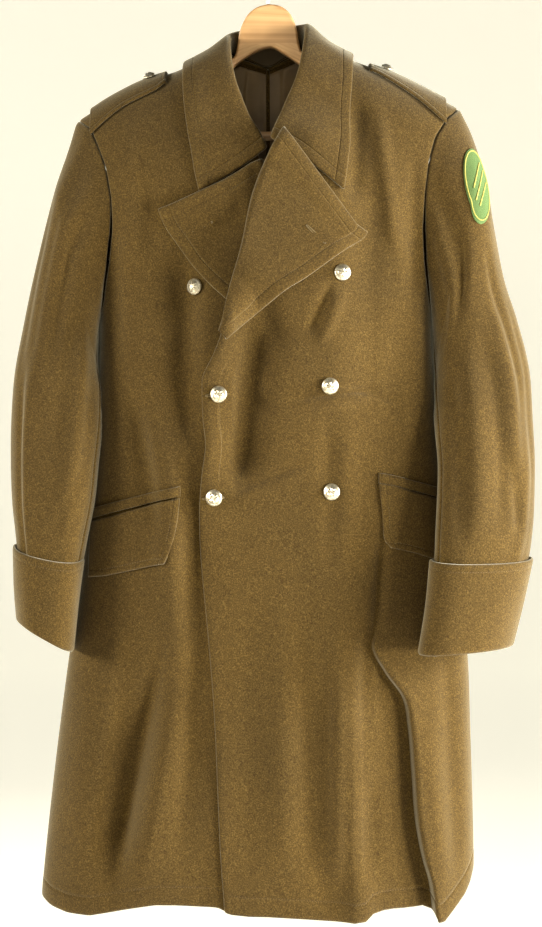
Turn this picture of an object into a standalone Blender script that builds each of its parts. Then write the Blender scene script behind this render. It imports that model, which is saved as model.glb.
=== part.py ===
"""A double-breasted wool greatcoat hanging on a wooden coat hanger.

Metres, +Z up, the coat's front faces -Y. The origin is the inside top of the hanger's hook,
where a rod holds it. Right and left are the wearer's: the right side of the coat is at -X.
Heights are written as a drop in millimetres below the origin.
"""

import math

import bpy
import numpy as np
from mathutils import Vector

MM = 0.001

# Driving sizes, in millimetres
CLOTH = 2.4
DOUBLE_CLOTH = 4.0
SEAM_GAP = 0.4
ARMHOLE_GAP = 0.7
SLEEVE_SEAM_GAP = 1.5
SLEEVE_HEAD_GAP = 1.5
SLEEVE_LAP = 4.7
SECTION_POWER = 2.6
SHOULDER_ROUND = 62.0
SIDE_SEAM_ANGLE = 112.0
ARMPIT_DROP = 530.0
BUTTON_DIAMETER = 22.5
STRAP_BUTTON_DIAMETER = 17.0
HOOK_WIRE = 3.8

WOOL = (0.150, 0.108, 0.040)
LINING_CLOTH = (0.085, 0.052, 0.022)
GILT = (0.86, 0.76, 0.56)
WOOD = (0.56, 0.34, 0.15)
STEEL = (0.62, 0.62, 0.62)
PATCH_GREEN = (0.13, 0.20, 0.05)

# The flattened body of the coat, one row for each level section
BODY = {
    "drop":       (110, 215, 260, 300, 355, 400, 450, 510, 600, 680, 760, 850, 925, 1055, 1160, 1280),
    "half_right": (268, 268, 259, 247, 234, 228, 224, 222, 226, 231, 239, 250, 261, 278, 290, 302),
    "half_left":  (268, 268, 254, 243, 231, 223, 218, 217, 223, 232, 243, 254, 263, 268, 271, 273),
    "front":      (44, 52, 60, 66, 72, 76, 78, 79, 80, 80, 81, 83, 85, 88, 90, 92),
    "back":       (36, 40, 44, 48, 52, 54, 55, 55, 54, 54, 55, 57, 59, 62, 64, 66),
}

# The shoulder line, from the neck point to the sleeve head
SHOULDER = {
    "x":     (0, 58, 121, 157, 183, 209, 235, 255, 285),
    "right": (112, 135, 163, 175, 187, 201, 218, 231, 248),
    "left":  (108, 128, 152, 165, 177, 190, 203, 214, 230),
}
NECK_POINT = 58.0
SHOULDER_TIP = 255.0

# The armhole as an angle round the section: 0 is the centre front, 180 the centre back
ARMHOLE = {
    "fall":        (0.00, 0.07, 0.17, 0.27, 0.41, 0.54, 0.67, 0.82, 0.93, 1.00),
    "front_right": (67, 59, 56.5, 55, 56, 59, 65, 75, 90, 112),
    "front_left":  (67, 59, 55.5, 55, 57, 60, 66, 76, 90, 112),
    "back":        (113, 119, 122, 124, 125, 124, 121, 117, 114, 112),
}

# Inner edge of each front: neckline, roll line, then the buttoned edge
LEFT_FRONT_EDGE = {
    "drop": (128, 150, 185, 222, 250, 276, 331, 405, 461, 510, 555, 580, 624, 660, 703, 752, 800,
             912, 996, 1115, 1200, 1262, 1280),
    "x":    (58, 55, 45, 31, 17, 3, -19, -35, -51, -63, -79, -85, -84, -80, -85, -88, -87,
             -77, -70, -64, -60, -55, -54),
}
RIGHT_FRONT_EDGE = {
    "drop": (135, 155, 185, 222, 250, 276, 331, 405, 461, 510, 555, 600, 800, 1280),
    "x":    (-58, -56, -50, -37, -24, -11, 11, 30, 46, 60, 68, 68, 66, 62),
}

# Height of the hem round the coat, the fronts by x and the rest by angle
FRONT_HEM = {
    "x":    (-302, -285, -262, -232, -204, -180, -146, -120, -60, -54, -40, 0, 50, 90, 114, 127,
             137, 156, 185, 209, 217, 222, 229, 240, 258, 266, 273),
    "drop": (1252, 1262, 1268, 1270, 1264, 1259, 1253, 1253, 1256, 1262, 1266, 1267, 1270, 1273, 1276, 1274,
             1264, 1259, 1259, 1258, 1268, 1278, 1278, 1266, 1246, 1232, 1214),
}
BACK_HEM_DROP = 1238

# Largest folds of the fronts and back. Each runs from (x0, drop0) to (x1, drop1); rise is how far
# its middle stands out of the surface, or in where it is negative
FOLDS = [
    # name, side, x0, drop0, x1, drop1, width, rise
    ("ridge below lapel", "front", -128, 560, -122, 1000, 26, 7),
    ("valley by right front edge", "front", -100, 690, -84, 1150, 20, -7),
    ("diagonal valley", "front", -133, 930, -208, 1215, 26, -11),
    ("skirt ridge", "front", -118, 960, -150, 1300, 34, 7),
    ("right side ridge", "front", -230, 900, -248, 1300, 28, 7),
    ("lifted front edge", "front", -84, 430, -86, 700, 26, 9),
    ("valley beside lifted edge", "front", -30, 420, -70, 700, 24, -5),
    ("skirt soft valley", "front", 74, 900, 84, 1300, 22, -5),
    ("pleat ridge", "front", 113, 860, 120, 1330, 17, 15),
    ("chest hollow right", "front", -150, 300, -120, 470, 40, -4),
    ("chest hollow left", "front", 135, 280, 120, 470, 38, -4),
    ("back pleat right", "back", -60, 620, -92, 1330, 30, 10),
    ("back valley", "back", -10, 700, -20, 1330, 24, -9),
    ("back pleat left", "back", 60, 640, 78, 1330, 30, 11),
    ("back side valley", "back", 150, 720, 160, 1330, 30, -8),
    ("back side pleat", "back", -165, 760, -190, 1330, 30, 8),
]

# The deep pleat of the left skirt: its free edge, and how far the cloth beside it is proud
PLEAT = {
    "drop":   (820, 905, 917, 955, 986, 1026, 1086, 1150, 1198, 1230, 1263, 1300),
    "x":      (146, 139, 137, 155, 177, 185, 190, 195, 204, 213, 217, 219),
    "proud":  (0, 3, 5, 7, 9, 11, 12, 13, 13, 13, 13, 13),
    "hollow": (0, 2, 5, 8, 10, 12, 13, 14, 14, 14, 14, 14),
}
PLEAT_STEP = 7.0

ROLL_SETBACK = 5.5

# The back of the neck, and the lining seen inside it
BACK_NECK_DROP = 152.0
LINING_DROP = 420
LINING_IN = -5.0

# How far the left front stands over the right one, below and beside the lapels
OVERLAP_OUT = 5.0
LAPEL_ZONE_OUT = 14.0
OVERLAP_REACH = 80.0


def table(columns, key, name, at):
    """A column of a table read at any place, along a smooth curve through its rows."""
    places = np.asarray(columns[key], float)
    values = np.asarray(columns[name], float)
    spans = np.diff(places)
    slopes = np.diff(values) / spans
    tangents = np.concatenate([slopes[:1], (slopes[:-1] + slopes[1:]) / 2, slopes[-1:]])
    flat = slopes[:-1] * slopes[1:] <= 0
    tangents[1:-1][flat] = 0
    at = np.clip(np.asarray(at, float), places[0], places[-1])
    i = np.clip(np.searchsorted(places, at, side="right") - 1, 0, len(spans) - 1)
    t = (at - places[i]) / spans[i]
    ends = (2 * t**3 - 3 * t**2 + 1) * values[i] + (3 * t**2 - 2 * t**3) * values[i + 1]
    bends = (t**3 - 2 * t**2 + t) * tangents[i] + (t**3 - t**2) * tangents[i + 1]
    return ends + bends * spans[i]


def smooth(low, high, at):
    """0 below low, 1 above high, and a smooth rise between."""
    t = np.clip((np.asarray(at, float) - low) / (high - low), 0, 1)
    return t * t * (3 - 2 * t)


def half_width(sign, drop):
    return np.where(sign < 0, table(BODY, "drop", "half_right", drop), table(BODY, "drop", "half_left", drop))


def shoulder_drop(x):
    reach = np.abs(x)
    right = np.interp(reach, SHOULDER["x"], SHOULDER["right"])
    left = np.interp(reach, SHOULDER["x"], SHOULDER["left"])
    return np.where(np.asarray(x) < 0, right, left)


def fold_rise(side, x, drop):
    """How far the folds move the cloth outwards at a place on the front or the back."""
    rise = np.zeros(np.broadcast(x, drop).shape)
    for _, where, x0, drop0, x1, drop1, width, height in FOLDS:
        if where != side:
            continue
        along = (drop - drop0) / (drop1 - drop0)
        middle = x0 + (x1 - x0) * along
        ends = smooth(0, 0.35, along) * (1 - smooth(0.78, 1.0, along))
        rise = rise + height * np.exp(-(((x - middle) / width) ** 2)) * ends
    if side == "front":
        edge = table(PLEAT, "drop", "x", drop)
        proud = table(PLEAT, "drop", "proud", drop)
        hollow = table(PLEAT, "drop", "hollow", drop)
        beyond = x - edge
        step = smooth(-PLEAT_STEP / 2, PLEAT_STEP / 2, beyond)
        outer = proud * np.exp(-np.maximum(beyond, 0) / 55)
        inner = -hollow * np.exp(-((np.minimum(beyond, 0) / 34) ** 2))
        rise = rise + step * outer + (1 - step) * inner
    return rise


def section(angle, drop):
    """A point of the body's cloth, at an angle round the coat and a drop below the hook."""
    angle = np.radians(np.asarray(angle, float))
    sine, cosine = np.sin(angle), np.cos(angle)
    across = np.sign(sine) * np.abs(sine) ** (2 / SECTION_POWER)
    deep = np.abs(cosine) ** (2 / SECTION_POWER)
    x = across * half_width(np.where(sine < 0, -1, 1), drop)
    below = np.maximum(drop - shoulder_drop(x), 0)
    rounding = np.sqrt(1 - (1 - np.minimum(below / SHOULDER_ROUND, 1)) ** 2)
    fade = smooth(0, 0.5, deep)
    front = table(BODY, "drop", "front", drop) * deep * rounding + fold_rise("front", x, drop) * fade
    back = table(BODY, "drop", "back", drop) * deep * rounding + fold_rise("back", x, drop) * fade
    y = np.where(cosine >= 0, -front, back)
    return np.stack(np.broadcast_arrays(x, y, -np.asarray(drop, float)), -1)


def angle_of(x, drop):
    """The angle at which the front's cloth reaches x."""
    share = np.clip(np.abs(x) / half_width(np.sign(x), drop), 0, 1)
    return np.degrees(np.sign(x) * np.arcsin(share ** (SECTION_POWER / 2)))


def normal_at(angle, drop):
    """The outward normal of the body's cloth."""
    turn, fall = 0.6, 1.5
    by_angle = section(angle + turn, drop) - section(angle - turn, drop)
    by_drop = section(angle, drop + fall) - section(angle, drop - fall)
    n = np.cross(by_angle, by_drop)
    n = -n / np.linalg.norm(n, axis=-1, keepdims=True)
    return n


def on_body(angle, drop, out):
    """A point that stands out mm proud of the body's cloth."""
    angle, drop, out = np.broadcast_arrays(np.asarray(angle, float), drop, out)
    return section(angle, drop) + normal_at(angle, drop) * out[..., None]


def overlap_out(x, drop):
    """How far the left front, which buttons over, stands in front of the shared surface."""
    lapels = 1 - smooth(560, 660, drop)
    depth = OVERLAP_OUT + (LAPEL_ZONE_OUT - OVERLAP_OUT) * lapels
    return depth * (1 - smooth(OVERLAP_REACH, OVERLAP_REACH + 60, x)) * smooth(190, 285, drop)


def draw_in(grid, edge, gap):
    """Shortens a grid of points at one edge, to leave a seam's gap."""
    grid = grid.copy()
    rows = {"first": (0, 1), "last": (-1, -2)}
    name, end = edge
    outer, inner = rows[end]
    if name == "rows":
        step = grid[inner] - grid[outer]
        grid[outer] += step / np.linalg.norm(step, axis=-1, keepdims=True) * gap
    else:
        step = grid[:, inner] - grid[:, outer]
        grid[:, outer] += step / np.linalg.norm(step, axis=-1, keepdims=True) * gap
    return grid


def material(name, colour, roughness, metallic=0.0):
    made = bpy.data.materials.get(name)
    if made is None:
        made = bpy.data.materials.new(name)
        made.use_nodes = True
        shader = made.node_tree.nodes["Principled BSDF"]
        shader.inputs["Base Color"].default_value = (*colour, 1)
        shader.inputs["Roughness"].default_value = roughness
        shader.inputs["Metallic"].default_value = metallic
    return made


def wool():
    return material("khaki_wool", WOOL, 0.95)


def add_object(name, mesh, finish):
    piece = bpy.data.objects.new(name, mesh)
    coat.objects.link(piece)
    mesh.materials.append(finish)
    return piece


def cloth(name, grid, finish, thickness=CLOTH, ring=False, flip=False):
    """A wall of cloth lofted through rows of points in millimetres; a ring's rows close on themselves."""
    rows, columns = grid.shape[:2]
    faces = []
    for r in range(rows - 1):
        for c in range(columns if ring else columns - 1):
            after = (c + 1) % columns
            face = (r * columns + c, r * columns + after, (r + 1) * columns + after, (r + 1) * columns + c)
            faces.append(face[::-1] if flip else face)
    mesh = bpy.data.meshes.new(name)
    mesh.from_pydata((grid.reshape(-1, 3) * MM).tolist(), [], faces)
    mesh.shade_smooth()
    piece = add_object(name, mesh, finish)
    wall = piece.modifiers.new("wall", "SOLIDIFY")
    wall.thickness = thickness * MM
    wall.offset = 0
    wall.use_even_offset = False
    return piece


# Body panels

UPPER_ROWS = 12
LOWER_ROWS = 16


def falls():
    """Row places from the shoulder (0) to the armpit (1), closest where the shoulder turns over."""
    span = ARMPIT_DROP - shoulder_drop(NECK_POINT)
    turns = np.radians((0, 16, 34, 54, 76))
    near = SHOULDER_ROUND * (1 - np.cos(turns)) / span
    rest = np.linspace(near[-1], 1, UPPER_ROWS - len(near) + 1)[1:]
    return np.concatenate([near, rest])


def hem_drop(angle):
    """Drop of the hem at an angle round the coat."""
    x = section(angle, 1260.0)[..., 0]
    front = np.interp(x, FRONT_HEM["x"], FRONT_HEM["drop"])
    side = np.where(x < 0, FRONT_HEM["drop"][0], FRONT_HEM["drop"][-1])
    back = side + (BACK_HEM_DROP - side) * smooth(90, 140, np.abs(angle))
    return np.where(np.abs(angle) <= 90, front, back)


def fallen(sign, x, fall, neck_drop):
    """Drop of a row at x: it follows the shoulder line and neckline, and levels out at the armpit."""
    reach = np.abs(x)
    neck = shoulder_drop(sign * NECK_POINT)
    top = np.where(reach < NECK_POINT, neck_drop + (neck - neck_drop) * reach / NECK_POINT,
                   shoulder_drop(sign * np.maximum(reach, NECK_POINT)))
    return top + (ARMPIT_DROP - top) * fall


def upper_drops(sign, fall, neck_drop):
    """Gives the drops of a row above the armpit from its angles."""
    def drops_at(angles):
        angles = np.asarray(angles, float)
        level = np.abs(angles)
        level = np.minimum(level, 90) if level.mean() < 90 else np.maximum(level, 90)
        drops = np.full(np.shape(level), 200.0)
        for _ in range(6):
            drops = fallen(sign, section(sign * level, drops)[..., 0], fall, neck_drop)
        return drops
    return drops_at


def lower_drops(share):
    """Gives the drops of a row below the armpit from its angles."""
    return lambda angles: ARMPIT_DROP + share * (hem_drop(angles) - ARMPIT_DROP)


def row_between(start, end, count, drops_at):
    """Steps of (angle, drop) from one angle to another, evenly spaced along the cloth."""
    angles = np.linspace(start, end, 90)
    drops = drops_at(angles)
    lengths = np.linalg.norm(np.diff(section(angles, drops), axis=0), axis=1)
    lengths = np.concatenate([[0], np.cumsum(lengths)])
    at = np.linspace(0, lengths[-1], count + 1)
    return np.stack([np.interp(at, lengths, angles), np.interp(at, lengths, drops)], -1)


def joined_row(stops, counts, drops_at):
    rows = [row_between(a, b, n, drops_at) for a, b, n in zip(stops, stops[1:], counts)]
    return np.concatenate([rows[0]] + [part[1:] for part in rows[1:]])


def edge_x(edge, drop):
    """x of a front's cut edge, set back inside the roll of its lapel."""
    back = ROLL_SETBACK * smooth(240, 290, drop) * (1 - smooth(540, 575, drop))
    side = -1 if edge is RIGHT_FRONT_EDGE else 1
    return float(table(edge, "drop", "x", drop) + side * back)


def front_places(sign, edge, guides, counts):
    """(angle, drop) of a front's grid, rows down it and columns from its edge to the side seam."""
    side = "right" if sign < 0 else "left"
    neck = float(shoulder_drop(sign * NECK_POINT))
    rows = []
    for fall in falls():
        inner = neck + (ARMPIT_DROP - neck) * fall
        stops = [float(angle_of(edge_x(edge, inner), inner))]
        for guide in guides:
            x = float(guide(inner))
            stops.append(float(angle_of(x, fallen(sign, x, fall, neck))))
        stops.append(sign * float(np.interp(fall, ARMHOLE["fall"], ARMHOLE["front_" + side])))
        rows.append(joined_row(stops, counts, upper_drops(sign, fall, neck)))
    for share in np.linspace(0, 1, LOWER_ROWS + 1)[1:]:
        level = ARMPIT_DROP + share * (1262 - ARMPIT_DROP)
        stops = [float(angle_of(edge_x(edge, level), level))]
        stops += [float(angle_of(float(guide(level)), level)) for guide in guides]
        stops.append(sign * SIDE_SEAM_ANGLE)
        rows.append(joined_row(stops, counts, lower_drops(share)))
    return np.array(rows)


def back_places(sign, counts):
    """(angle, drop) of a back's grid, columns from the centre back seam to the side seam."""
    rows = []
    for fall in falls():
        drops_at = upper_drops(sign, fall, BACK_NECK_DROP)
        inner = float(fallen(sign, NECK_POINT, fall, BACK_NECK_DROP))
        neck_angle = sign * (180 - abs(float(angle_of(sign * NECK_POINT, inner))))
        armhole = sign * float(np.interp(fall, ARMHOLE["fall"], ARMHOLE["back"]))
        rows.append(joined_row([sign * 180.0, neck_angle, armhole], counts, drops_at))
    neck_angle = sign * (180 - abs(float(angle_of(sign * NECK_POINT, 700))))
    for share in np.linspace(0, 1, LOWER_ROWS + 1)[1:]:
        stops = [sign * 180.0, neck_angle, sign * SIDE_SEAM_ANGLE]
        rows.append(joined_row(stops, counts, lower_drops(share)))
    return np.array(rows)


def trim_panel(grid):
    """Leaves the seams' gaps: the shoulder, the armhole and side seam, and the centre back or front edge."""
    grid = draw_in(grid, ("rows", "first"), SEAM_GAP)
    grid = draw_in(grid, ("columns", "last"), ARMHOLE_GAP)
    return draw_in(grid, ("columns", "first"), SEAM_GAP)


def make_fronts():
    right = front_places(-1, RIGHT_FRONT_EDGE, [], [15])
    right_grid = trim_panel(section(right[..., 0], right[..., 1]))
    cloth("front_right", right_grid, wool(), flip=True)

    def pleat_at(shift):
        return lambda drop: table(PLEAT, "drop", "x", drop) + shift

    guides = [lambda drop: 112.0, pleat_at(-PLEAT_STEP / 2), pleat_at(PLEAT_STEP / 2)]
    left = front_places(1, LEFT_FRONT_EDGE, guides, [7, 2, 1, 8])
    grid = section(left[..., 0], left[..., 1])
    grid[..., 1] -= overlap_out(grid[..., 0], left[..., 1])
    grid = trim_panel(grid)
    cloth("front_left", grid, wool())
    return {"right": right_grid, "left": grid}


def make_backs():
    grids = {}
    for side, sign in (("right", -1), ("left", 1)):
        places = back_places(sign, [2, 8])
        grid = trim_panel(section(places[..., 0], places[..., 1]))
        cloth("back_" + side, grid, wool(), flip=sign > 0)
        grids[side] = grid
    return grids


# Sleeves and cuffs

# Rings down each sleeve: its outer and inner outline from the front, where its middle lies from
# front to back, its half depth, and how far its inner side leans forward for each millimetre across
# Columns: outer_x, outer_drop, inner_x, inner_drop, middle_y, half_depth, lean
RIGHT_SLEEVE = (
    (-263, 250, -224, 540, -4, 46, 0.00),
    (-269, 278, -226, 549, -5, 50, 0.00),
    (-280, 315, -227, 558, -6, 54, 0.00),
    (-294, 369, -228, 568, -7, 56, 0.00),
    (-309, 434, -229, 580, -8, 57, 0.02),
    (-322, 503, -223, 595, -10, 57, 0.04),
    (-333, 564, -223, 616, -14, 56, 0.07),
    (-337, 627, -226, 646, -20, 55, 0.10),
    (-338, 679, -230, 681, -26, 54, 0.13),
    (-336, 732, -234, 731, -32, 53, 0.16),
    (-331, 772, -240, 774, -38, 51, 0.19),
    (-327, 805, -247, 812, -43, 48, 0.21),
    (-324, 850, -256, 862, -49, 46, 0.23),
    (-321, 884, -261, 912, -53, 45, 0.24),
)
LEFT_SLEEVE = (
    (262, 226, 218, 540, -4, 46, 0.00),
    (272, 250, 219, 549, -5, 50, 0.00),
    (279, 277, 219, 558, -6, 53, 0.00),
    (290, 315, 219, 567, -7, 55, 0.00),
    (298, 369, 219, 577, -9, 56, 0.03),
    (311, 438, 219, 588, -12, 56, 0.06),
    (328, 492, 219, 602, -17, 55, 0.10),
    (344, 559, 219, 620, -25, 54, 0.15),
    (348, 627, 220, 645, -35, 52, 0.19),
    (350, 685, 222, 686, -50, 49, 0.23),
    (348, 737, 220, 737, -62, 47, 0.27),
    (344, 776, 217, 776, -70, 45, 0.30),
    (338, 809, 215, 809, -77, 43, 0.32),
    (324, 861, 209, 867, -86, 41, 0.34),
    (312, 907, 202, 913, -92, 40, 0.35),
)
# The cuffs' rows have the same columns, and how far the front of the ring sags
RIGHT_CUFF = (
    (-334, 790, -241, 808, -43, 54, 0.21, 9),
    (-332, 841, -248, 867, -49, 52, 0.23, 4),
    (-329, 887, -254, 927, -53, 51, 0.24, 0),
)
LEFT_CUFF = (
    (345, 806, 209, 807, -78, 48.5, 0.32, 6),
    (332, 861, 202.5, 867, -87, 46.3, 0.34, 4),
    (318, 918, 193, 926, -93, 46, 0.35, 2),
)
# Columns round a sleeve where its two pieces meet, counted from the shoulder by the front
FRONT_SEAM, BACK_SEAM = 9, 15
SLEEVE_POWER = 2.25
ARMPIT_TURN = 200

# The badge on the left sleeve: its middle and half size, along the rings and round them
PATCH_LEVEL = (3.35, 1.1)
PATCH_TURN = (38.0, 25.0)
PATCH_OUT = 3.9


def tube_ring(row, turns, sag=0.0):
    """One ring of a sleeve or cuff."""
    outer_x, outer_drop, inner_x, inner_drop, middle_y, half_depth, lean = row[:7]
    turns = np.radians(turns)
    along = np.sign(np.cos(turns)) * np.abs(np.cos(turns)) ** (2 / SLEEVE_POWER)
    forward = np.sign(np.sin(turns)) * np.abs(np.sin(turns)) ** (2 / SLEEVE_POWER)
    half_x = (outer_x - inner_x) / 2
    half_fall = (outer_drop - inner_drop) / 2
    x = (outer_x + inner_x) / 2 + half_x * along
    drop = (outer_drop + inner_drop) / 2 + half_fall * along + sag * np.maximum(forward, 0)
    y = middle_y - half_depth * forward + lean * half_x * along * np.sign(outer_x)
    return np.stack([x, y, -drop], -1)


def armhole_loop(front, back, sign):
    """Points round the armhole from the shoulder by the front to the armpit and up the back, with
    the place of each round the sleeve: 0 is the outer side, 90 the front, 180 the inner side."""
    loop, turns = [], []
    for half, start, stop in ((front, 0, ARMPIT_TURN), (back, 360, ARMPIT_TURN)):
        lengths = np.concatenate([[0], np.cumsum(np.linalg.norm(np.diff(half, axis=0), axis=1))])
        turn = start + (stop - start) * lengths / lengths[-1]
        if start == 0:
            loop, turns = list(half), list(turn)
            loop[0] = (front[0] + back[0]) / 2
            loop[-1] = (front[-1] + back[-1]) / 2
        else:
            loop += list(half[-2:0:-1])
            turns += list(turn[-2:0:-1])
    loop = np.array(loop)
    turns = np.array(turns)
    lower = smooth(70, 125, turns) * (1 - smooth(235, 290, turns))
    loop[:, 0] += sign * SLEEVE_HEAD_GAP
    return loop + (clear_of_body(loop, turns, SLEEVE_LAP) - loop) * lower[:, None], turns


def sleeve_rings(loop, turns, rows):
    """Every ring of a sleeve, from the armhole to the end inside the cuff."""
    rings = [loop]
    for index, row in enumerate(rows):
        share = min(1, 0.3 + 0.35 * index)
        start = loop + (tube_ring(row, turns) - tube_ring(rows[0], turns)) * 0.6
        ring = start * (1 - share) + tube_ring(row, turns) * share
        rings.append(clear_of_body(ring, turns, (6.0, 7.0, 7.8)[min(index, 2)]))
    return np.array(rings)


def clear_of_body(points, turns, out):
    """Moves the inner side of a sleeve outwards where it is less than out from the body's cloth."""
    x, y, drop = points[..., 0], points[..., 1], -points[..., 2]
    front = y < 0
    rise = np.where(front, fold_rise("front", x, drop), 0)
    flat = y + rise
    depth = np.where(front, table(BODY, "drop", "front", drop), table(BODY, "drop", "back", drop)) + out
    width = half_width(np.sign(x), drop) + out
    ratio = np.abs(x / width) ** SECTION_POWER + np.abs(flat / depth) ** SECTION_POWER
    ratio = ratio ** (1 / SECTION_POWER)
    inner = smooth(55, 100, turns) * (1 - smooth(260, 305, turns))
    grow = 1 + np.maximum(0, 1 / ratio - 1) * (1 - smooth(720, 800, drop)) * inner
    return np.stack([x * grow, flat * grow - rise, points[..., 2]], -1)


def make_patch(rings, turns):
    """An upright oval badge on the upper part of the left sleeve."""
    def sleeve_at(level, turn):
        low = min(int(level), len(rings) - 2)
        row = rings[low] * (1 - (level - low)) + rings[low + 1] * (level - low)
        return np.array([np.interp(turn, turns, row[:, k]) for k in range(3)])

    rows = []
    for v in np.linspace(-1, 1, 8):
        row = []
        for u in np.linspace(-1, 1, 6):
            # a square mapped onto a disc
            a, b = u * math.sqrt(1 - v * v / 2), v * math.sqrt(1 - u * u / 2)
            level, turn = PATCH_LEVEL[0] + b * PATCH_LEVEL[1], PATCH_TURN[0] + a * PATCH_TURN[1]
            normal = np.cross(sleeve_at(level + 0.2, turn) - sleeve_at(level - 0.2, turn),
                              sleeve_at(level, turn + 4) - sleeve_at(level, turn - 4))
            normal *= np.sign(normal[0]) / np.linalg.norm(normal)
            row.append(sleeve_at(level, turn) + normal * PATCH_OUT)
        rows.append(row)
    cloth("sleeve_patch", np.array(rows), material("patch_green", PATCH_GREEN, 0.9), thickness=1.4)


def make_sleeves(fronts, backs):
    tables = (("right", -1, RIGHT_SLEEVE, RIGHT_CUFF), ("left", 1, LEFT_SLEEVE, LEFT_CUFF))
    for side, sign, rows, cuff in tables:
        loop, turns = armhole_loop(fronts[side][:UPPER_ROWS, -1], backs[side][:UPPER_ROWS, -1], sign)
        rings = sleeve_rings(loop, turns, rows)
        count = rings.shape[1]
        outer = [i % count for i in range(BACK_SEAM, count + FRONT_SEAM + 1)]
        inner = list(range(FRONT_SEAM, BACK_SEAM + 1))
        for name, columns in (("top_sleeve_", outer), ("under_sleeve_", inner)):
            grid = draw_in(rings[:, columns], ("columns", "first"), SLEEVE_SEAM_GAP)
            grid = draw_in(grid, ("columns", "last"), SLEEVE_SEAM_GAP)
            cloth(name + side, grid, wool(), flip=sign > 0)
        grid = cuff_rings(cuff, turns)
        cloth("cuff_" + side, grid, wool(), thickness=3.0, ring=True, flip=sign > 0)
    make_patch(rings, turns)


def cuff_rings(cuff, turns, count=5):
    places = {str(k): column for k, column in enumerate(np.array(cuff, float).T)}
    places["level"] = np.arange(3)
    rings = []
    for level in np.linspace(0, 2, count):
        row = [float(table(places, "level", str(k), level)) for k in range(8)]
        rings.append(tube_ring(row, turns, sag=row[7]))
    return np.array(rings)


# Collar and lapels

# Stations along the collar from the wearer's right end round the back to the left end. The neckline
# is x on the back and a drop on the fronts; then the roll, and the outer edge of the leaf
COLLAR_COLUMNS = ("where", "neckline", "roll_x", "roll_lean", "roll_drop", "edge_x", "edge_y", "edge_drop",
                  "bend_x", "bend_drop", "out")
COLLAR = (
    ("right", 272, -4, -9, 271, -89, -72, 329, -44, 303, 5.4),
    ("right", 252, -13, -9, 250, -95, -69, 302, -52, 272, 5.6),
    ("right", 234, -25, -9, 231, -99, -65, 276, -58, 247, 6.4),
    ("right", 213, -34, -9, 209, -104, -62, 250, -66, 222, 7.0),
    ("right", 194, -42, -8, 187, -108, -56, 222, -73, 198, 7.4),
    ("right", 174, -48, -4, 162, -110, -46, 196, -78, 170, 7.5),
    ("right", 153, -51, 1, 137, -110, -28, 171, -80, 148, 8.0),
    ("right", 138, -52, 2, 120, -106, 4, 156, -79, 134, 8.5),
    ("back", -50, -46, 6, 108, -88, 30, 172, -66, 134, 8.5),
    ("back", -28, -27, 10, 101, -48, 48, 186, -37, 138, 7.5),
    ("back", 0, 0, 10, 98, 0, 52, 190, 0, 140, 7.0),
    ("back", 28, 28, 10, 98, 50, 48, 184, 39, 136, 7.5),
    ("back", 50, 46, 6, 98, 89, 30, 164, 67, 124, 8.5),
    ("left", 130, 52, 2, 104, 107, 5, 149, 79, 122, 9.6),
    ("left", 143, 50, 1, 120, 109, -27, 160, 80, 134, 9.0),
    ("left", 160, 46, -3, 143, 109, -45, 185, 78, 158, 7.5),
    ("left", 178, 41, -6, 166, 107, -55, 212, 74, 183, 7.4),
    ("left", 196, 34, -8, 188, 105, -60, 238, 69, 208, 7.4),
    ("left", 216, 25, -9, 211, 104, -66, 264, 64, 232, 7.4),
    ("left", 239, 15, -10, 236, 101, -74, 293, 57, 259, 8.0),
    ("left", 261, 5, -10, 260, 97, -80, 327, 40, 282, 7.8),
)
ROLL_RADIUS = 4.8


def outer_cloth(sign, x, drop):
    """The face of a front, as a point for each x and drop, with the left front's overlap."""
    point = section(angle_of(x, drop), drop)
    if sign > 0:
        point[..., 1] -= overlap_out(point[..., 0], drop)
    return point


def cloth_samples(grids):
    """Points and outward normals spread over the panels' faces."""
    points, normals = [], []
    for grid in grids:
        for steps, axis in ((7, 0), (5, 1)):
            places = np.linspace(0, grid.shape[axis] - 1, (grid.shape[axis] - 1) * steps + 1)
            low = np.minimum(places.astype(int), grid.shape[axis] - 2)
            share = places - low
            share = share[:, None, None] if axis == 0 else share[None, :, None]
            grid = np.take(grid, low, axis) * (1 - share) + np.take(grid, low + 1, axis) * share
        normal = np.cross(np.gradient(grid, axis=0), np.gradient(grid, axis=1))
        length = np.linalg.norm(normal, axis=-1, keepdims=True)
        normal = normal / np.maximum(length, 1e-9)
        away = grid - np.stack([grid[..., 0] * 0.7, grid[..., 1] * 0, grid[..., 2] - 20], -1)
        normal *= np.sign(np.sum(normal * away, -1, keepdims=True))
        good = length[..., 0] > 1e-6
        points.append(grid[good])
        normals.append(normal[good])
    return np.concatenate(points), np.concatenate(normals)


def lay(points, out, samples):
    """Moves points so that they lie out mm from the coat's cloth."""
    at, normal = samples
    flat = points.reshape(-1, 3)
    laid = []
    for point in flat:
        gap = np.sum((at - point) ** 2, -1)
        near = np.argsort(gap)[:6]
        weight = 1 / (gap[near] + 4.0)
        n = np.sum(normal[near] * weight[:, None], 0)
        n /= np.linalg.norm(n)
        base = np.sum(at[near] * weight[:, None], 0) / np.sum(weight)
        laid.append(point + n * (out - np.dot(point - base, n)))
    return np.array(laid).reshape(points.shape)


def curve_through(points, counts):
    """A smooth curve through points, with a number of steps between each two."""
    points = np.asarray(points, float)
    before = np.concatenate([points[:1] * 2 - points[1:2], points, points[-1:] * 2 - points[-2:-1]])
    line = [points[0]]
    for i, count in enumerate(counts):
        a, b, c, d = before[i:i + 4]
        for step in range(1, count + 1):
            t = step / count
            line.append(0.5 * (2 * b + (c - a) * t + (2 * a - 5 * b + 4 * c - d) * t**2
                               + (3 * b - a - 3 * c + d) * t**3))
    return np.array(line)


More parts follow.
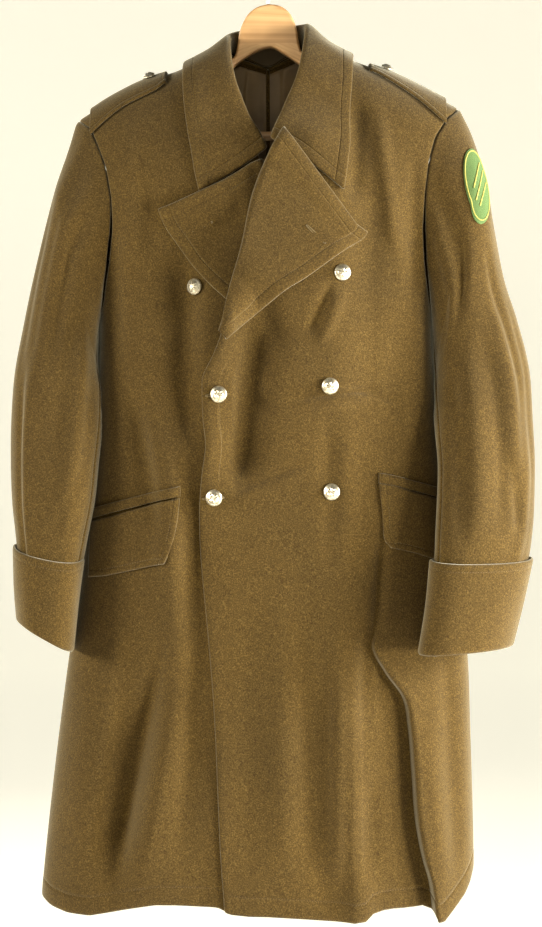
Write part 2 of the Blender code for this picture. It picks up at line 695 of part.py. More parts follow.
def collar_grid(samples):
    rows = []
    for row in COLLAR:
        entry = dict(zip(COLLAR_COLUMNS, row))
        if entry["where"] == "back":
            x = entry["neckline"]
            side = np.sign(x) if x else 1
            drop = BACK_NECK_DROP + (shoulder_drop(side * NECK_POINT) - BACK_NECK_DROP) * abs(x) / NECK_POINT
            neck = section(side * (180 - abs(angle_of(x, drop))), drop)
        else:
            side = 1 if entry["where"] == "left" else -1
            edge = LEFT_FRONT_EDGE if side > 0 else RIGHT_FRONT_EDGE
            drop = float(entry["neckline"])
            neck = outer_cloth(side, np.array(edge_x(edge, drop)), np.array(drop))
        inward = np.array([-neck[0], -6 - neck[1], 0.0])
        inward /= np.linalg.norm(inward)
        neck = neck + inward * 4.0
        if entry["where"] == "back" or drop < 150:
            neck[2] += 2.0
        roll = np.array([entry["roll_x"], neck[1] + entry["roll_lean"], -entry["roll_drop"]])
        edge = np.array([entry["edge_x"], entry["edge_y"], -entry["edge_drop"]], float)
        edge = lay(edge[None], entry["out"], samples)[0]
        bend = np.array([entry["bend_x"], (roll[1] + edge[1]) / 2, -entry["bend_drop"]])
        if entry["where"] != "back" and drop > 170:
            bend = lay(bend[None], entry["out"] + 0.6, samples)[0]
        # the stand and the leaf leave the roll as the two sides of a half turn
        rise = roll - (neck * 0.5 + bend * 0.5)
        rise /= np.linalg.norm(rise)
        apart = bend - neck
        apart -= rise * np.dot(apart, rise)
        apart /= np.linalg.norm(apart)
        before = roll - apart * ROLL_RADIUS - rise * ROLL_RADIUS * 0.8
        after = roll + apart * ROLL_RADIUS - rise * ROLL_RADIUS * 0.8
        rows.append(curve_through([neck, before, roll, after, bend, edge], (2, 2, 2, 2, 3)))
    return np.array(rows)


def lapel_grid(sign, edge, rows, lapel_out, lift):
    """A lapel turned back from its roll line: rows give the drop on the roll and the outer edge."""
    grid = []
    for roll_drop, outer_x, outer_drop, bow in rows:
        drop = float(roll_drop)
        roll_x = float(table(edge, "drop", "x", drop))
        start = np.array([roll_x, drop])
        end = np.array([outer_x, outer_drop], float)
        along = (end - start) / np.linalg.norm(end - start)
        length = np.linalg.norm(end - start)
        side = np.array([along[1], -along[0]])
        line = []
        turn = min(1, length / 26)
        for across, out in ROLL_PROFILE:
            place = start + along * across * turn
            line.append((place, out * turn + 1.0 * (1 - turn)))
        for share in np.linspace(0, 1, 7)[1:]:
            at = ROLL_PROFILE[-1][0] * turn
            place = start + along * (at + (length - at) * share) - side * bow * 4 * share * (1 - share)
            line.append((place, ROLL_PROFILE[-1][1] + (lapel_out - ROLL_PROFILE[-1][1]) * share))
        points = []
        for place, out in line:
            point = outer_cloth(sign, np.array(place[0]), np.array(place[1]))
            point[1] -= out + lift(place)
            points.append(point)
        grid.append(points)
    return np.array(grid)


# Where the cloth of a lapel runs round its roll: across from the roll line, and out of the front
ROLL_PROFILE = ((2.9, -0.5), (2.1, 3.6), (4.0, 8.0), (9.5, 9.2), (18.0, 7.6))
LEFT_LAPEL = (
    # drop on the roll line, x and drop of the outer edge, and how far the row bows down
    (246, 130, 382, 14),
    (262, 123, 391, 9),
    (286, 100, 406, 4),
    (320, 76, 423, 0),
    (358, 50, 442, 0),
    (396, 24, 458, 0),
    (430, 0, 477, 0),
    (460, -20, 494, 0),
    (488, -38, 510, 0),
    (512, -53, 524, 0),
)
RIGHT_LAPEL = (
    (286, -143, 352, -5),
    (306, -134, 374, 0),
    (334, -116, 400, 0),
    (364, -96, 427, 0),
    (396, -70, 455, 0),
    (430, -38, 482, 0),
    (462, -8, 504, 0),
    (490, 18, 520, 0),
    (514, 40, 534, 0),
)


def make_collar_and_lapels(samples):
    grid = collar_grid(samples)
    cloth("collar", grid, wool(), thickness=DOUBLE_CLOTH)

    def over_left_leaf(place):
        return 15.0 * (1 - smooth(264, 296, place[1])) * (1 - smooth(34, 66, place[0]))

    def over_right_leaf(place):
        return 4.6 * (1 - smooth(330, 372, place[1])) * (1 - smooth(-30, -8, place[0]))

    left = lapel_grid(1, LEFT_FRONT_EDGE, LEFT_LAPEL, 6.4, over_left_leaf)
    cloth("lapel_left", left, wool(), thickness=DOUBLE_CLOTH, flip=True)
    right = lapel_grid(-1, RIGHT_FRONT_EDGE, RIGHT_LAPEL, 5.4, over_right_leaf)
    cloth("lapel_right", right, wool(), thickness=DOUBLE_CLOTH)
    tape = grid[8:13, :2].copy()
    tape[:, 1] = tape[:, 0] + (tape[:, 1] - tape[:, 0]) * 0.5
    inward = np.array([0, 4, 0]) - tape
    inward[..., 2] = 0
    tape += inward / np.linalg.norm(inward, axis=-1, keepdims=True) * 3.8
    cloth("neck_tape", tape, material("neck_tape", (0.10, 0.07, 0.03), 0.8), thickness=1.0)


# Pockets, straps, buttons and patch

# Flaps as rows of x and drop: the top line and the bottom line from the front corner to the side
FLAP_OUT = 4.9
WELT_OUT = 4.5
RIGHT_FLAP = {
    "top":    ((-116, 728), (-160, 740), (-199, 751), (-220, 757), (-229, 760)),
    "bottom": ((-130, 809), (-160, 817), (-206, 828), (-225, 831), (-232, 832)),
    "front":  ((-116, 728), (-120, 765), (-126, 792), (-133, 812)),
}
LEFT_FLAP = {
    "top":    ((144, 709), (163, 712), (181, 718), (207, 726), (224, 731)),
    "bottom": ((160, 790), (172, 794), (190, 799), (211, 806), (227, 809)),
    "front":  ((144, 709), (148, 746), (151, 778), (160, 792)),
}
WELTS = {
    "right": ((-115, 713), (-160, 724), (-199, 734), (-220, 740), (-229, 743)),
    "left":  ((144, 696), (163, 699), (181, 704), (207, 711), (224, 716)),
}
# Buttons: x, drop, and how far the foot of the shank stands from the middle of the cloth
FRONT_BUTTONS = {
    "button_right_top": (-94, 453, 1.9),
    "button_right_middle": (-63, 594, 2.6),
    "button_right_low": (-69, 727, 1.7),
    "button_left_top": (96, 436, 2.6),
    "button_left_middle": (80, 583, 1.55),
    "button_left_low": (83, 720, 1.55),
}
# Straps: x and drop along the lower edge in front, from the sleeve to the tip
STRAP_OUT = 4.8
STRAPS = {
    "right": ((-232, 251), (-214, 234), (-191, 216), (-166, 203), (-146, 193), (-134, 183)),
    "left":  ((233, 236), (217, 222), (194, 203), (166, 184), (146, 172), (134, 166)),
}


def make_pockets(samples):
    for side, sign, flap in (("right", -1, RIGHT_FLAP), ("left", 1, LEFT_FLAP)):
        top, bottom = np.array(flap["top"], float), np.array(flap["bottom"], float)
        front = curve_through(np.array(flap["front"], float), (1, 1, 1))
        across = (2, 2, 1, 1)
        top, bottom = curve_through(top, across), curve_through(bottom, across)
        rows = []
        for share in np.linspace(0, 1, 4):
            row = top * (1 - share) + bottom * share
            edge = front[int(round(share * 3))]
            fade = np.linspace(1, 0, len(row))[:, None] ** 3
            rows.append(row + (edge - row[0]) * fade)
        grid = np.array(rows)
        points = lay(section(angle_of(grid[..., 0], grid[..., 1]), grid[..., 1]), FLAP_OUT, samples)
        cloth("pocket_flap_" + side, points, wool(), thickness=3.0, flip=sign > 0)
        top = curve_through(np.array(WELTS[side], float), across)
        rows = np.array([top, top + np.array([0, 12.6])])
        points = lay(section(angle_of(rows[..., 0], rows[..., 1]), rows[..., 1]), WELT_OUT, samples)
        cloth("pocket_welt_" + side, points, wool(), thickness=1.6, flip=sign > 0)


def button(name, diameter, point, normal):
    """A domed metal button, its rim rolled under and a shank's boss behind it."""
    r = diameter / 2
    profile = ((0, 0.47), (0.34, 0.43), (0.68, 0.29), (0.96, 0.04), (0.97, -0.10), (0.36, -0.12),
               (0.30, -0.20), (0, -0.20))
    mesh = bpy.data.meshes.new(name)
    edges = [(i, i + 1) for i in range(len(profile) - 1)]
    mesh.from_pydata([(a * r * MM, 0, b * r * MM) for a, b in profile], edges, [])
    piece = add_object(name, mesh, material("silver_gilt", GILT, 0.25, 1.0))
    screw = piece.modifiers.new("turn", "SCREW")
    screw.axis = "Z"
    screw.steps = screw.render_steps = 14
    screw.use_merge_vertices = True
    screw.merge_threshold = 0.00001
    screw.use_smooth_shade = True
    piece.location = (np.asarray(point) + np.asarray(normal) * (0.20 * r)) * MM
    piece.rotation_mode = "QUATERNION"
    piece.rotation_quaternion = Vector(normal).to_track_quat("Z", "Y")
    return piece


def make_buttons(strap_places):
    for name, (x, drop, foot) in FRONT_BUTTONS.items():
        under = name == "button_right_top"
        angle = angle_of(float(x), float(drop))
        normal = normal_at(angle, float(drop))
        point = section(angle, float(drop))
        if not under:
            point[1] -= overlap_out(x, float(drop))
        button(name, BUTTON_DIAMETER, point + normal * foot, normal)
    for side, (point, normal) in strap_places.items():
        button("strap_button_" + side, STRAP_BUTTON_DIAMETER, point + normal * 1.85, normal)


def make_straps(samples):
    places = {}
    for side, sign in (("right", -1), ("left", 1)):
        lower = curve_through(np.array(STRAPS[side], float), (2, 2, 2, 2, 1))
        count = len(lower)
        rows = []
        for index, (x, drop) in enumerate(lower):
            taper = 1 - 0.45 * smooth(count - 3, count - 1, index)
            ridge_x = x - sign * 1.0
            back = np.array([ridge_x, 16.0 * taper, -shoulder_drop(ridge_x) - 1])
            ridge = np.array([ridge_x, 0.0, -shoulder_drop(ridge_x)])
            front = section(angle_of(x, drop), drop)
            middle = section(angle_of(x, (shoulder_drop(ridge_x) * 0.6 + drop * 0.4)),
                             shoulder_drop(ridge_x) * 0.6 + drop * 0.4)
            rows.append(curve_through([back, ridge, middle, front], (1, 2, 2)))
        grid = lay(np.array(rows), STRAP_OUT, samples)
        cloth("shoulder_strap_" + side, grid, wool(), thickness=3.0, flip=sign > 0)
        middle = grid[-3, 2]
        normal = np.cross(grid[-2, 2] - grid[-4, 2], grid[-3, 3] - grid[-3, 1])
        normal /= np.linalg.norm(normal)
        normal *= np.sign(normal[2])
        places[side] = (middle, normal)
    return places


# Hanger

HANGER_HALF = 9.0
# How far the arms' upper side lies below the coat's shoulder line, by x
HANGER_SEAT = ((62, 8), (82, 4), (104, 3.6), (125, 3.6), (150, 3.6), (175, 3.6), (195, 3.8), (207, 5))


def make_hanger():
    wood = material("hanger_wood", WOOD, 0.45)
    top, bottom = [], []
    for sign in (-1, 1):
        neck = [(15, 75), (27, 83), (35, 96), (39, 110), (41, 124), (46, 137)]
        line = [(x, drop + (7 if sign < 0 else 0) * (x / 46)) for x, drop in neck]
        line += [(x, float(shoulder_drop(sign * x)) + seat)
                 for x, seat in HANGER_SEAT]
        top.append([(sign * x, drop) for x, drop in line])
        low = [(212, 240), (211, 255), (205, 262), (196, 261), (192, 254), (190, 236)]
        low += [(x, float(shoulder_drop(sign * x)) + 36) for x in (170, 140, 110, 80, 55)]
        low += [(42, 153), (20, 138)]
        bottom.append([(sign * x, drop) for x, drop in low])
    outline = [(0, 73)] + top[1] + bottom[1] + [(3, 130)] + bottom[0][::-1] + top[0][::-1]
    curve = bpy.data.curves.new("hanger_arms", "CURVE")
    curve.dimensions = "2D"
    curve.fill_mode = "BOTH"
    bevel = 3.5
    curve.extrude = (HANGER_HALF - bevel) * MM
    curve.bevel_depth = bevel * MM
    curve.bevel_resolution = 1
    curve.offset = -bevel * MM
    spline = curve.splines.new("POLY")
    spline.points.add(len(outline) - 1)
    for point, (x, drop) in zip(spline.points, outline):
        point.co = (x * MM, -drop * MM, 0, 1)
    spline.use_cyclic_u = True
    curve.materials.append(wood)
    arms = bpy.data.objects.new("hanger_arms", curve)
    arms.rotation_euler = (math.pi / 2, 0, 0)
    coat.objects.link(arms)

    bpy.ops.mesh.primitive_cylinder_add(
        vertices=16, radius=6 * MM, depth=2 * 190.3 * MM, location=(0, 0, -247.6 * MM),
        rotation=(0, math.pi / 2, 0))
    bar = bpy.context.active_object
    bar.name = "hanger_bar"
    for owner in list(bar.users_collection):
        owner.objects.unlink(bar)
    coat.objects.link(bar)
    bar.data.materials.append(wood)

    radius = 17 + HOOK_WIRE / 2
    centre = -17.0
    points = [(radius * math.sin(math.radians(a)), centre + radius * math.cos(math.radians(a)))
              for a in np.linspace(-118, 138, 17)]
    points += [(5.5, -38), (1.5, -43), (0, -49), (0, -60), (0, -72.6)]
    wire = bpy.data.curves.new("hanger_hook", "CURVE")
    wire.dimensions = "3D"
    wire.bevel_depth = HOOK_WIRE / 2 * MM
    wire.bevel_resolution = 2
    wire.use_fill_caps = True
    spline = wire.splines.new("POLY")
    spline.points.add(len(points) - 1)
    for point, (x, z) in zip(spline.points, points):
        point.co = (x * MM, 0, z * MM, 1)
    wire.materials.append(material("hook_steel", STEEL, 0.3, 1.0))
    coat.objects.link(bpy.data.objects.new("hanger_hook", wire))


def make_lining():
    """The lining seen inside the back of the neck."""
    rows = []
    for share in np.linspace(0, 1, 7):
        row = []
        for x in np.linspace(-150, 150, 13):
            side = 1 if x >= 0 else -1
            point = float(shoulder_drop(side * NECK_POINT))
            neck = BACK_NECK_DROP + (point - BACK_NECK_DROP) * abs(x) / NECK_POINT
            top = max(neck + 10 if abs(x) < NECK_POINT else 0, float(shoulder_drop(x)) + 22)
            drop = top + (LINING_DROP - top) * share
            angle = side * (180 - abs(float(angle_of(x if x else 0.01, drop))))
            row.append(on_body(angle, drop, LINING_IN))
        rows.append(row)
    cloth("lining_back", np.array(rows), material("lining_satin", LINING_CLOTH, 0.5), thickness=1.0)


# Script

for old in list(bpy.data.objects):
    bpy.data.objects.remove(old)
coat = bpy.data.collections.new("greatcoat")
bpy.context.scene.collection.children.link(coat)
fronts = make_fronts()
backs = make_backs()
make_sleeves(fronts, backs)
upper = cloth_samples([grid[:UPPER_ROWS] for grid in (*fronts.values(), *backs.values())])
lower = cloth_samples([grid[UPPER_ROWS:UPPER_ROWS + 8] for grid in fronts.values()])
make_collar_and_lapels(upper)
make_pockets(lower)
make_buttons(make_straps(upper))
make_lining()
make_hanger()
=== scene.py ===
"""A khaki wool greatcoat on a wooden hanger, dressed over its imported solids.

Metres, +Z up, the coat's front faces -Y, and the origin is inside the top of the hook. Shapes are
worked out in millimetres, with heights as a drop below the hook. Right and left are the wearer's.
"""

import math

import bmesh
import bpy
import numpy as np
from mathutils import Matrix, Vector


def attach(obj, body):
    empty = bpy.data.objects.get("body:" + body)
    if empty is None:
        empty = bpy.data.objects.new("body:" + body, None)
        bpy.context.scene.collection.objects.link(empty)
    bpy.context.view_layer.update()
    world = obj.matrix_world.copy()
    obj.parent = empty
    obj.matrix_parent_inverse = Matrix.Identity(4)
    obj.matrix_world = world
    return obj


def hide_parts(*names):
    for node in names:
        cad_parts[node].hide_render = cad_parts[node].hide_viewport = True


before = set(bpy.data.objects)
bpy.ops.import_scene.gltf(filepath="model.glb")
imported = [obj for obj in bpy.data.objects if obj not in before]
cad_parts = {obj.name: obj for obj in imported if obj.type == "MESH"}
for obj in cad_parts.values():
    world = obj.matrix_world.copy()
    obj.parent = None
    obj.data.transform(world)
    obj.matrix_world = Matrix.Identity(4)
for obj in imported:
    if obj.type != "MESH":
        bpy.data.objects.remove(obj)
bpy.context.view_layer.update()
MM = 0.001

# Room and camera
# A round room: a pale floor that curves up into a pale wall. Its paint glows, faintly in front and more
# strongly behind the coat, as painted light. A strong soft light from the wearer's left, a weaker one from
# the right, a low one for the left cuff, a faint one in front and one behind, and a camera straight in
# front at the photograph's distance.


def nodes_of(name):
    """A new material with its shader and short ways to add and link nodes."""
    made = bpy.data.materials.new(name)
    made.use_nodes = True
    tree = made.node_tree

    def add(kind, **settings):
        node = tree.nodes.new("ShaderNode" + kind)
        for key, value in settings.items():
            if key.startswith("in_"):
                node.inputs[key[3:].replace("_", " ")].default_value = value
            else:
                setattr(node, key, value)
        return node
    return made, tree.nodes["Principled BSDF"], add, tree.links.new


def tune(shader, **values):
    """Sets a shader's plain inputs, written with underscores for spaces."""
    for key, value in values.items():
        shader.inputs[key.replace("_", " ")].default_value = value


def spun(profile, merge):
    """A mesh under construction, turned round the vertical from a profile of (reach, height)."""
    made = bmesh.new()
    line = [made.verts.new((reach, 0, height)) for reach, height in profile]
    line += [made.edges.new(pair) for pair in zip(line, line[1:])]
    bmesh.ops.spin(made, geom=line, cent=(0, 0, 0), axis=(0, 0, 1), angle=math.tau, steps=96, use_merge=True,
                   use_normal_flip=False)
    bmesh.ops.remove_doubles(made, verts=made.verts, dist=merge)
    return made


def in_scene(name, data):
    """A new object that shows some data."""
    made = bpy.data.objects.new(name, data)
    bpy.context.scene.collection.objects.link(made)
    return made


def finished(name, mesh, finish):
    """A smooth object of one material, made from a mesh under construction, which it uses up."""
    data = bpy.data.meshes.new(name)
    mesh.to_mesh(data)
    mesh.free()
    data.shade_smooth()
    data.materials.append(finish)
    return in_scene(name, data)


# The room's paint glows, weakly in front and strongly behind the coat: painted light that brightens the wall and
# lights the coat.
glowing_room_paint, shader, add, link = nodes_of("pale_paint")
tune(shader, Base_Color=(0.83, 0.80, 0.72, 1), Roughness=0.9, Emission_Color=(1.0, 0.985, 0.85, 1))
parts = add("SeparateXYZ")
link(add("TexCoord").outputs["Object"], parts.inputs["Vector"])
glow = add("MapRange", in_From_Min=0.4, in_From_Max=2.2, in_To_Min=0.06, in_To_Max=0.44)
link(parts.outputs["Y"], glow.inputs["Value"])
link(glow.outputs["Result"], shader.inputs["Emission Strength"])

FLOOR_REACH, COVE, WALL_TOP, FLOOR_DROP = 9.0, 3.0, 10.0, 1.75
profile = [(0, -FLOOR_DROP), (FLOOR_REACH, -FLOOR_DROP)]
for bend in np.radians(np.linspace(7.5, 90, 12)):
    profile.append((FLOOR_REACH + COVE * math.sin(bend), COVE - COVE * math.cos(bend) - FLOOR_DROP))
profile.append((FLOOR_REACH + COVE, WALL_TOP - FLOOR_DROP))
room_mesh = spun(profile, 1e-4)
bmesh.ops.recalc_face_normals(room_mesh, faces=room_mesh.faces)
finished("studio_floor", room_mesh, glowing_room_paint)

sky = bpy.data.worlds.new("studio_air")
sky.use_nodes = True
tune(sky.node_tree.nodes["Background"], Color=(1.0, 0.965, 0.87, 1), Strength=0.15)
bpy.context.scene.world = sky
bpy.context.scene.view_settings.view_transform = "Standard"

LAMPS = (
    # name, place, aim, size, power, colour
    ("left_light", (-2.7, -1.0, -0.1), (0.0, 0.0, -0.75), 0.9, 110, (1.0, 0.96, 0.86)),
    ("window_light", (2.9, -0.50, -0.15), (0.0, 0.0, -0.75), 0.9, 235, (1.0, 0.97, 0.90)),
    ("cuff_light", (1.9, -1.1, -1.05), (0.34, -0.05, -0.93), 0.6, 70, (1.0, 0.97, 0.90)),
    ("back_light", (-1.4, 3.3, 0.7), (0.0, 0.0, -0.7), 1.6, 35, (1.0, 0.97, 0.90)),
    ("front_light", (0.3, -3.6, 0.9), (0.0, 0.0, -0.7), 1.4, 5, (1.0, 0.95, 0.86)),
)
for name, place, aim, size, power, colour in LAMPS:
    lamp_data = bpy.data.lights.new(name, "AREA")
    lamp_data.shape = "SQUARE"
    lamp_data.size = size
    lamp_data.energy = power
    lamp_data.color = colour
    lamp = in_scene(name, lamp_data)
    lamp.location = place
    lamp.rotation_euler = (Vector(aim) - Vector(place)).to_track_quat("-Z", "Y").to_euler()

# mm of sensor, and metres of height that the frame shows at a distance
SENSOR, VIEW_DISTANCE, VIEW_HEIGHT = 24, 3.0, 1.205
camera_data = bpy.data.cameras.new("photo_camera")
camera_data.sensor_fit = "VERTICAL"
camera_data.sensor_height = camera_data.sensor_width = SENSOR
camera_data.lens = SENSOR * VIEW_DISTANCE / VIEW_HEIGHT
camera_data.clip_end = 40
camera = in_scene("photo_camera", camera_data)
camera.location = (0.004, -3.07, -0.683)
camera.rotation_euler = (math.radians(90), 0, 0)
bpy.context.scene.camera = camera

# Right front
# The wearer's right front, heavy milled wool, cut in one piece from shoulder to hem. It lies under
# the left front. Its front edge and hem are turned under and its other edges are sewn into seams.


def table(columns, key, name, at):
    """A column of a table read at any place, along a smooth curve through its rows."""
    places = np.asarray(columns[key], float)
    values = np.asarray(columns[name], float)
    spans = np.diff(places)
    slopes = np.diff(values) / spans
    tangents = np.concatenate([slopes[:1], (slopes[:-1] + slopes[1:]) / 2, slopes[-1:]])
    flat = slopes[:-1] * slopes[1:] <= 0
    tangents[1:-1][flat] = 0
    at = np.clip(np.asarray(at, float), places[0], places[-1])
    i = np.clip(np.searchsorted(places, at, side="right") - 1, 0, len(spans) - 1)
    t = (at - places[i]) / spans[i]
    start, leaving, end, arriving = 2 * t**3 - 3 * t**2 + 1, t**3 - 2 * t**2 + t, 3 * t**2 - 2 * t**3, t**3 - t**2
    return (start * values[i] + leaving * spans[i] * tangents[i]
            + end * values[i + 1] + arriving * spans[i] * tangents[i + 1])


def distances(points, axis=0):
    """How far each point lies from the first, measured through the points along an axis."""
    run = np.cumsum(np.linalg.norm(np.diff(points, axis=axis), axis=-1), axis)
    return np.pad(run, [(int(k == axis), 0) for k in range(run.ndim)])


def smooth(low, high, at):
    """0 below low, 1 above high, and a smooth rise between."""
    t = np.clip((np.asarray(at, float) - low) / (high - low), 0, 1)
    return t * t * (3 - 2 * t)


BODY = {
    "drop":       (110, 215, 260, 300, 355, 400, 450, 510, 600, 680, 760, 850, 925, 1055, 1160, 1280),
    "half_right": (268, 268, 259, 247, 234, 228, 224, 222, 226, 231, 239, 250, 261, 278, 290, 302),
    "half_left":  (268, 268, 254, 243, 231, 223, 218, 217, 223, 232, 243, 254, 263, 268, 271, 273),
    "front":      (44, 52, 60, 66, 72, 76, 78, 79, 80, 80, 81, 83, 85, 88, 90, 92),
    "back":       (36, 40, 44, 48, 52, 54, 55, 55, 54, 54, 55, 57, 59, 62, 64, 66),
}
# Squareness of the body's level sections: 2 is an ellipse
SECTION_POWER = 2.6
SHOULDER = {
    "x":     (0, 58, 121, 157, 183, 209, 235, 255, 285),
    "right": (112, 135, 163, 175, 187, 201, 218, 231, 248),
    "left":  (108, 128, 152, 165, 177, 190, 203, 214, 230),
}
# How far below the shoulder line the body reaches its full depth, x of the neck point, drop of the
# armpit, and angle of the side seam from the middle of the front
SHOULDER_ROUND, NECK_POINT, ARMPIT_DROP, SIDE_SEAM_ANGLE = 62.0, 58.0, 530.0, 112.0

# Folds as lines down the cloth: side, start x and drop, end x and drop, width, and height
FOLDS = [
    ("front", -128, 560, -122, 1000, 26, 7),
    ("front", -100, 690, -84, 1150, 20, -7),
    ("front", -133, 930, -208, 1215, 26, -11),
    ("front", -118, 960, -150, 1300, 34, 7),
    ("front", -230, 900, -248, 1300, 28, 7),
    ("front", -84, 430, -86, 700, 26, 9),
    ("front", -30, 420, -70, 700, 24, -5),
    ("front", 74, 900, 84, 1300, 22, -5),
    ("front", 113, 860, 120, 1330, 17, 15),
    ("front", -150, 300, -120, 470, 40, -4),
    ("front", 135, 280, 120, 470, 38, -4),
    ("back", -60, 620, -92, 1330, 30, 10),
    ("back", -10, 700, -20, 1330, 24, -9),
    ("back", 60, 640, 78, 1330, 30, 11),
    ("back", 150, 720, 160, 1330, 30, -8),
    ("back", -165, 760, -190, 1330, 30, 8),
]
PLEAT = {
    "drop":   (820, 905, 917, 955, 986, 1026, 1086, 1150, 1198, 1230, 1263, 1300),
    "x":      (146, 139, 137, 155, 177, 185, 190, 195, 204, 213, 217, 219),
    "proud":  (0, 3, 5, 7, 9, 11, 12, 13, 13, 13, 13, 13),
    "hollow": (0, 2, 5, 8, 10, 12, 13, 14, 14, 14, 14, 14),
}
PLEAT_STEP = 7.0
# Smaller creases, written the same way, and the gentle unevenness of the cloth between them
CREASES = [
    # the lifted edge of the left front, and the deep valleys on both sides of the lapels' foot
    ("front", -46, 430, -66, 760, 15, 10),
    ("front", 6, 440, -44, 730, 24, -19),
    ("front", 20, 430, -10, 640, 18, 4),
    ("front", -110, 380, -96, 680, 22, -15),
    ("front", -150, 560, -128, 850, 15, 6),
    ("front", -186, 560, -132, 800, 14, -6),
    # drag lines from the buttons
    ("front", 86, 440, 52, 520, 7, -5),
    ("front", 100, 452, 66, 535, 8, 4),
    ("front", 14, 601, 152, 584, 4.5, -3.4),
    ("front", 20, 610, 140, 596, 6, 2.8),
    ("front", 96, 583, 178, 604, 4, -2.4),
    ("front", -52, 722, 62, 678, 5, -2.2),
    ("front", -48, 732, 60, 690, 6, 1.8),
    ("front", 78, 600, 80, 840, 12, -4),
    ("front", 104, 610, 106, 800, 14, 3),
    # chest
    ("front", 118, 190, 110, 350, 13, -6),
    ("front", 142, 200, 168, 420, 11, 4.5),
    ("front", 190, 250, 192, 480, 12, -5),
    ("front", 176, 470, 150, 690, 20, -4),
    ("front", -182, 230, -172, 430, 14, 4),
    ("front", -160, 240, -148, 420, 14, -3.5),
    ("front", -206, 330, -196, 560, 13, -4),
    # skirt
    ("front", 92, 850, 88, 1260, 12, 10),
    ("front", 124, 870, 127, 1260, 14, -11),
    ("front", -126, 860, -208, 1270, 12, -9),
    ("front", -100, 880, -176, 1280, 16, 6),
    ("front", 136, 880, 132, 1130, 8, 5),
    ("front", 149, 740, 138, 930, 8, -6),
    ("front", 44, 830, 58, 1230, 16, -5),
    ("front", 18, 780, 22, 1240, 20, 4),
    ("front", -30, 820, -26, 1230, 20, -4),
    ("front", -122, 600, -122, 960, 12, 4),
    ("front", -160, 860, -206, 1230, 20, -6),
    ("front", -190, 880, -238, 1240, 16, 4),
    ("front", -96, 900, -112, 1230, 14, -4),
    ("front", 206, 1000, 232, 1270, 14, 5),
    ("front", 228, 860, 246, 1240, 12, -5),
    # back
    ("back", -118, 300, -126, 700, 22, -4),
    ("back", 122, 300, 118, 700, 22, -4),
    ("back", 0, 420, -24, 760, 20, -4),
    ("back", 36, 400, 50, 720, 18, 4),
    ("back", -40, 420, -52, 740, 18, 4),
    ("back", -126, 780, -140, 1250, 16, -5),
    ("back", 112, 800, 120, 1250, 16, 5),
    ("back", 32, 860, 26, 1240, 14, -4),
]
ripple_seed = np.random.default_rng(11)
RIPPLES = [(float(length), float(turn), float(shift), float(size)) for length, turn, shift, size in zip(
    ripple_seed.uniform(34, 120, 22), ripple_seed.uniform(0, math.pi, 22),
    ripple_seed.uniform(0, 2 * math.pi, 22), ripple_seed.uniform(0.4, 1.0, 22))]


def ripple(across, drop, height):
    """Gentle unevenness of hanging cloth, longer up and down than across."""
    rise = np.zeros(np.broadcast(across, drop).shape)
    for length, turn, shift, size in RIPPLES:
        run = across * math.cos(turn) + drop * math.sin(turn) * 0.45
        rise = rise + size * math.sqrt(length / 80) * np.sin(run * 2 * math.pi / length + shift)
    return rise * height / math.sqrt(len(RIPPLES))


def half_width(sign, drop):
    return np.where(sign < 0, table(BODY, "drop", "half_right", drop), table(BODY, "drop", "half_left", drop))


def shoulder_drop(x):
    reach = np.abs(x)
    right, left = (np.interp(reach, SHOULDER["x"], SHOULDER[side]) for side in ("right", "left"))
    return np.where(np.asarray(x) < 0, right, left)


def crease_rise(lines, side, x, drop):
    """Height of a list of folds at places on one side; each fades out at both of its ends."""
    rise = np.zeros(np.broadcast(x, drop).shape)
    for where, x0, drop0, x1, drop1, width, height in lines:
        if where != side:
            continue
        run = np.array([x1 - x0, drop1 - drop0], float)
        steep = abs(run[1]) > abs(run[0])
        along = (drop - drop0) / run[1] if steep else (x - x0) / run[0]
        away = x - (x0 + run[0] * along) if steep else drop - (drop0 + run[1] * along)
        ends = smooth(0, 0.35, along) * (1 - smooth(0.78, 1.0, along))
        rise = rise + height * np.exp(-((away / width) ** 2)) * ends
    return rise


def fold_rise(side, x, drop):
    """How far the folds move the cloth outwards at a place on the front or the back."""
    rise = crease_rise(FOLDS + CREASES, side, x, drop)
    if side == "front":
        beyond = x - table(PLEAT, "drop", "x", drop)
        step = smooth(-PLEAT_STEP / 2, PLEAT_STEP / 2, beyond)
        outer = table(PLEAT, "drop", "proud", drop) * np.exp(-np.maximum(beyond, 0) / 55)
        inner = -table(PLEAT, "drop", "hollow", drop) * np.exp(-((np.minimum(beyond, 0) / 34) ** 2))
        rise = rise + step * outer + (1 - step) * inner
    return rise + ripple(x + (0 if side == "front" else 400), drop, 0.7)


def section(angle, drop):
    """A point of the body's cloth, at an angle round the coat and a drop below the hook."""
    angle = np.radians(np.asarray(angle, float))
    sine, cosine = np.sin(angle), np.cos(angle)
    x = np.sign(sine) * np.abs(sine) ** (2 / SECTION_POWER) * half_width(np.where(sine < 0, -1, 1), drop)
    deep = np.abs(cosine) ** (2 / SECTION_POWER)
    below = np.maximum(drop - shoulder_drop(x), 0)
    rounding = np.sqrt(1 - (1 - np.minimum(below / SHOULDER_ROUND, 1)) ** 2)
    fade = smooth(0, 0.5, deep) * (0.15 + 0.85 * smooth(0, 40, below))
    front = table(BODY, "drop", "front", drop) * deep * rounding + fold_rise("front", x, drop) * fade
    back = table(BODY, "drop", "back", drop) * deep * rounding + fold_rise("back", x, drop) * fade
    return np.stack(np.broadcast_arrays(x, np.where(cosine >= 0, -front, back), -np.asarray(drop, float)), -1)


def angle_of(x, drop):
    """The angle at which the front's cloth reaches x."""
    share = np.clip(np.abs(x) / half_width(np.sign(x), drop), 0, 1)
    return np.degrees(np.sign(x) * np.arcsin(share ** (SECTION_POWER / 2)))


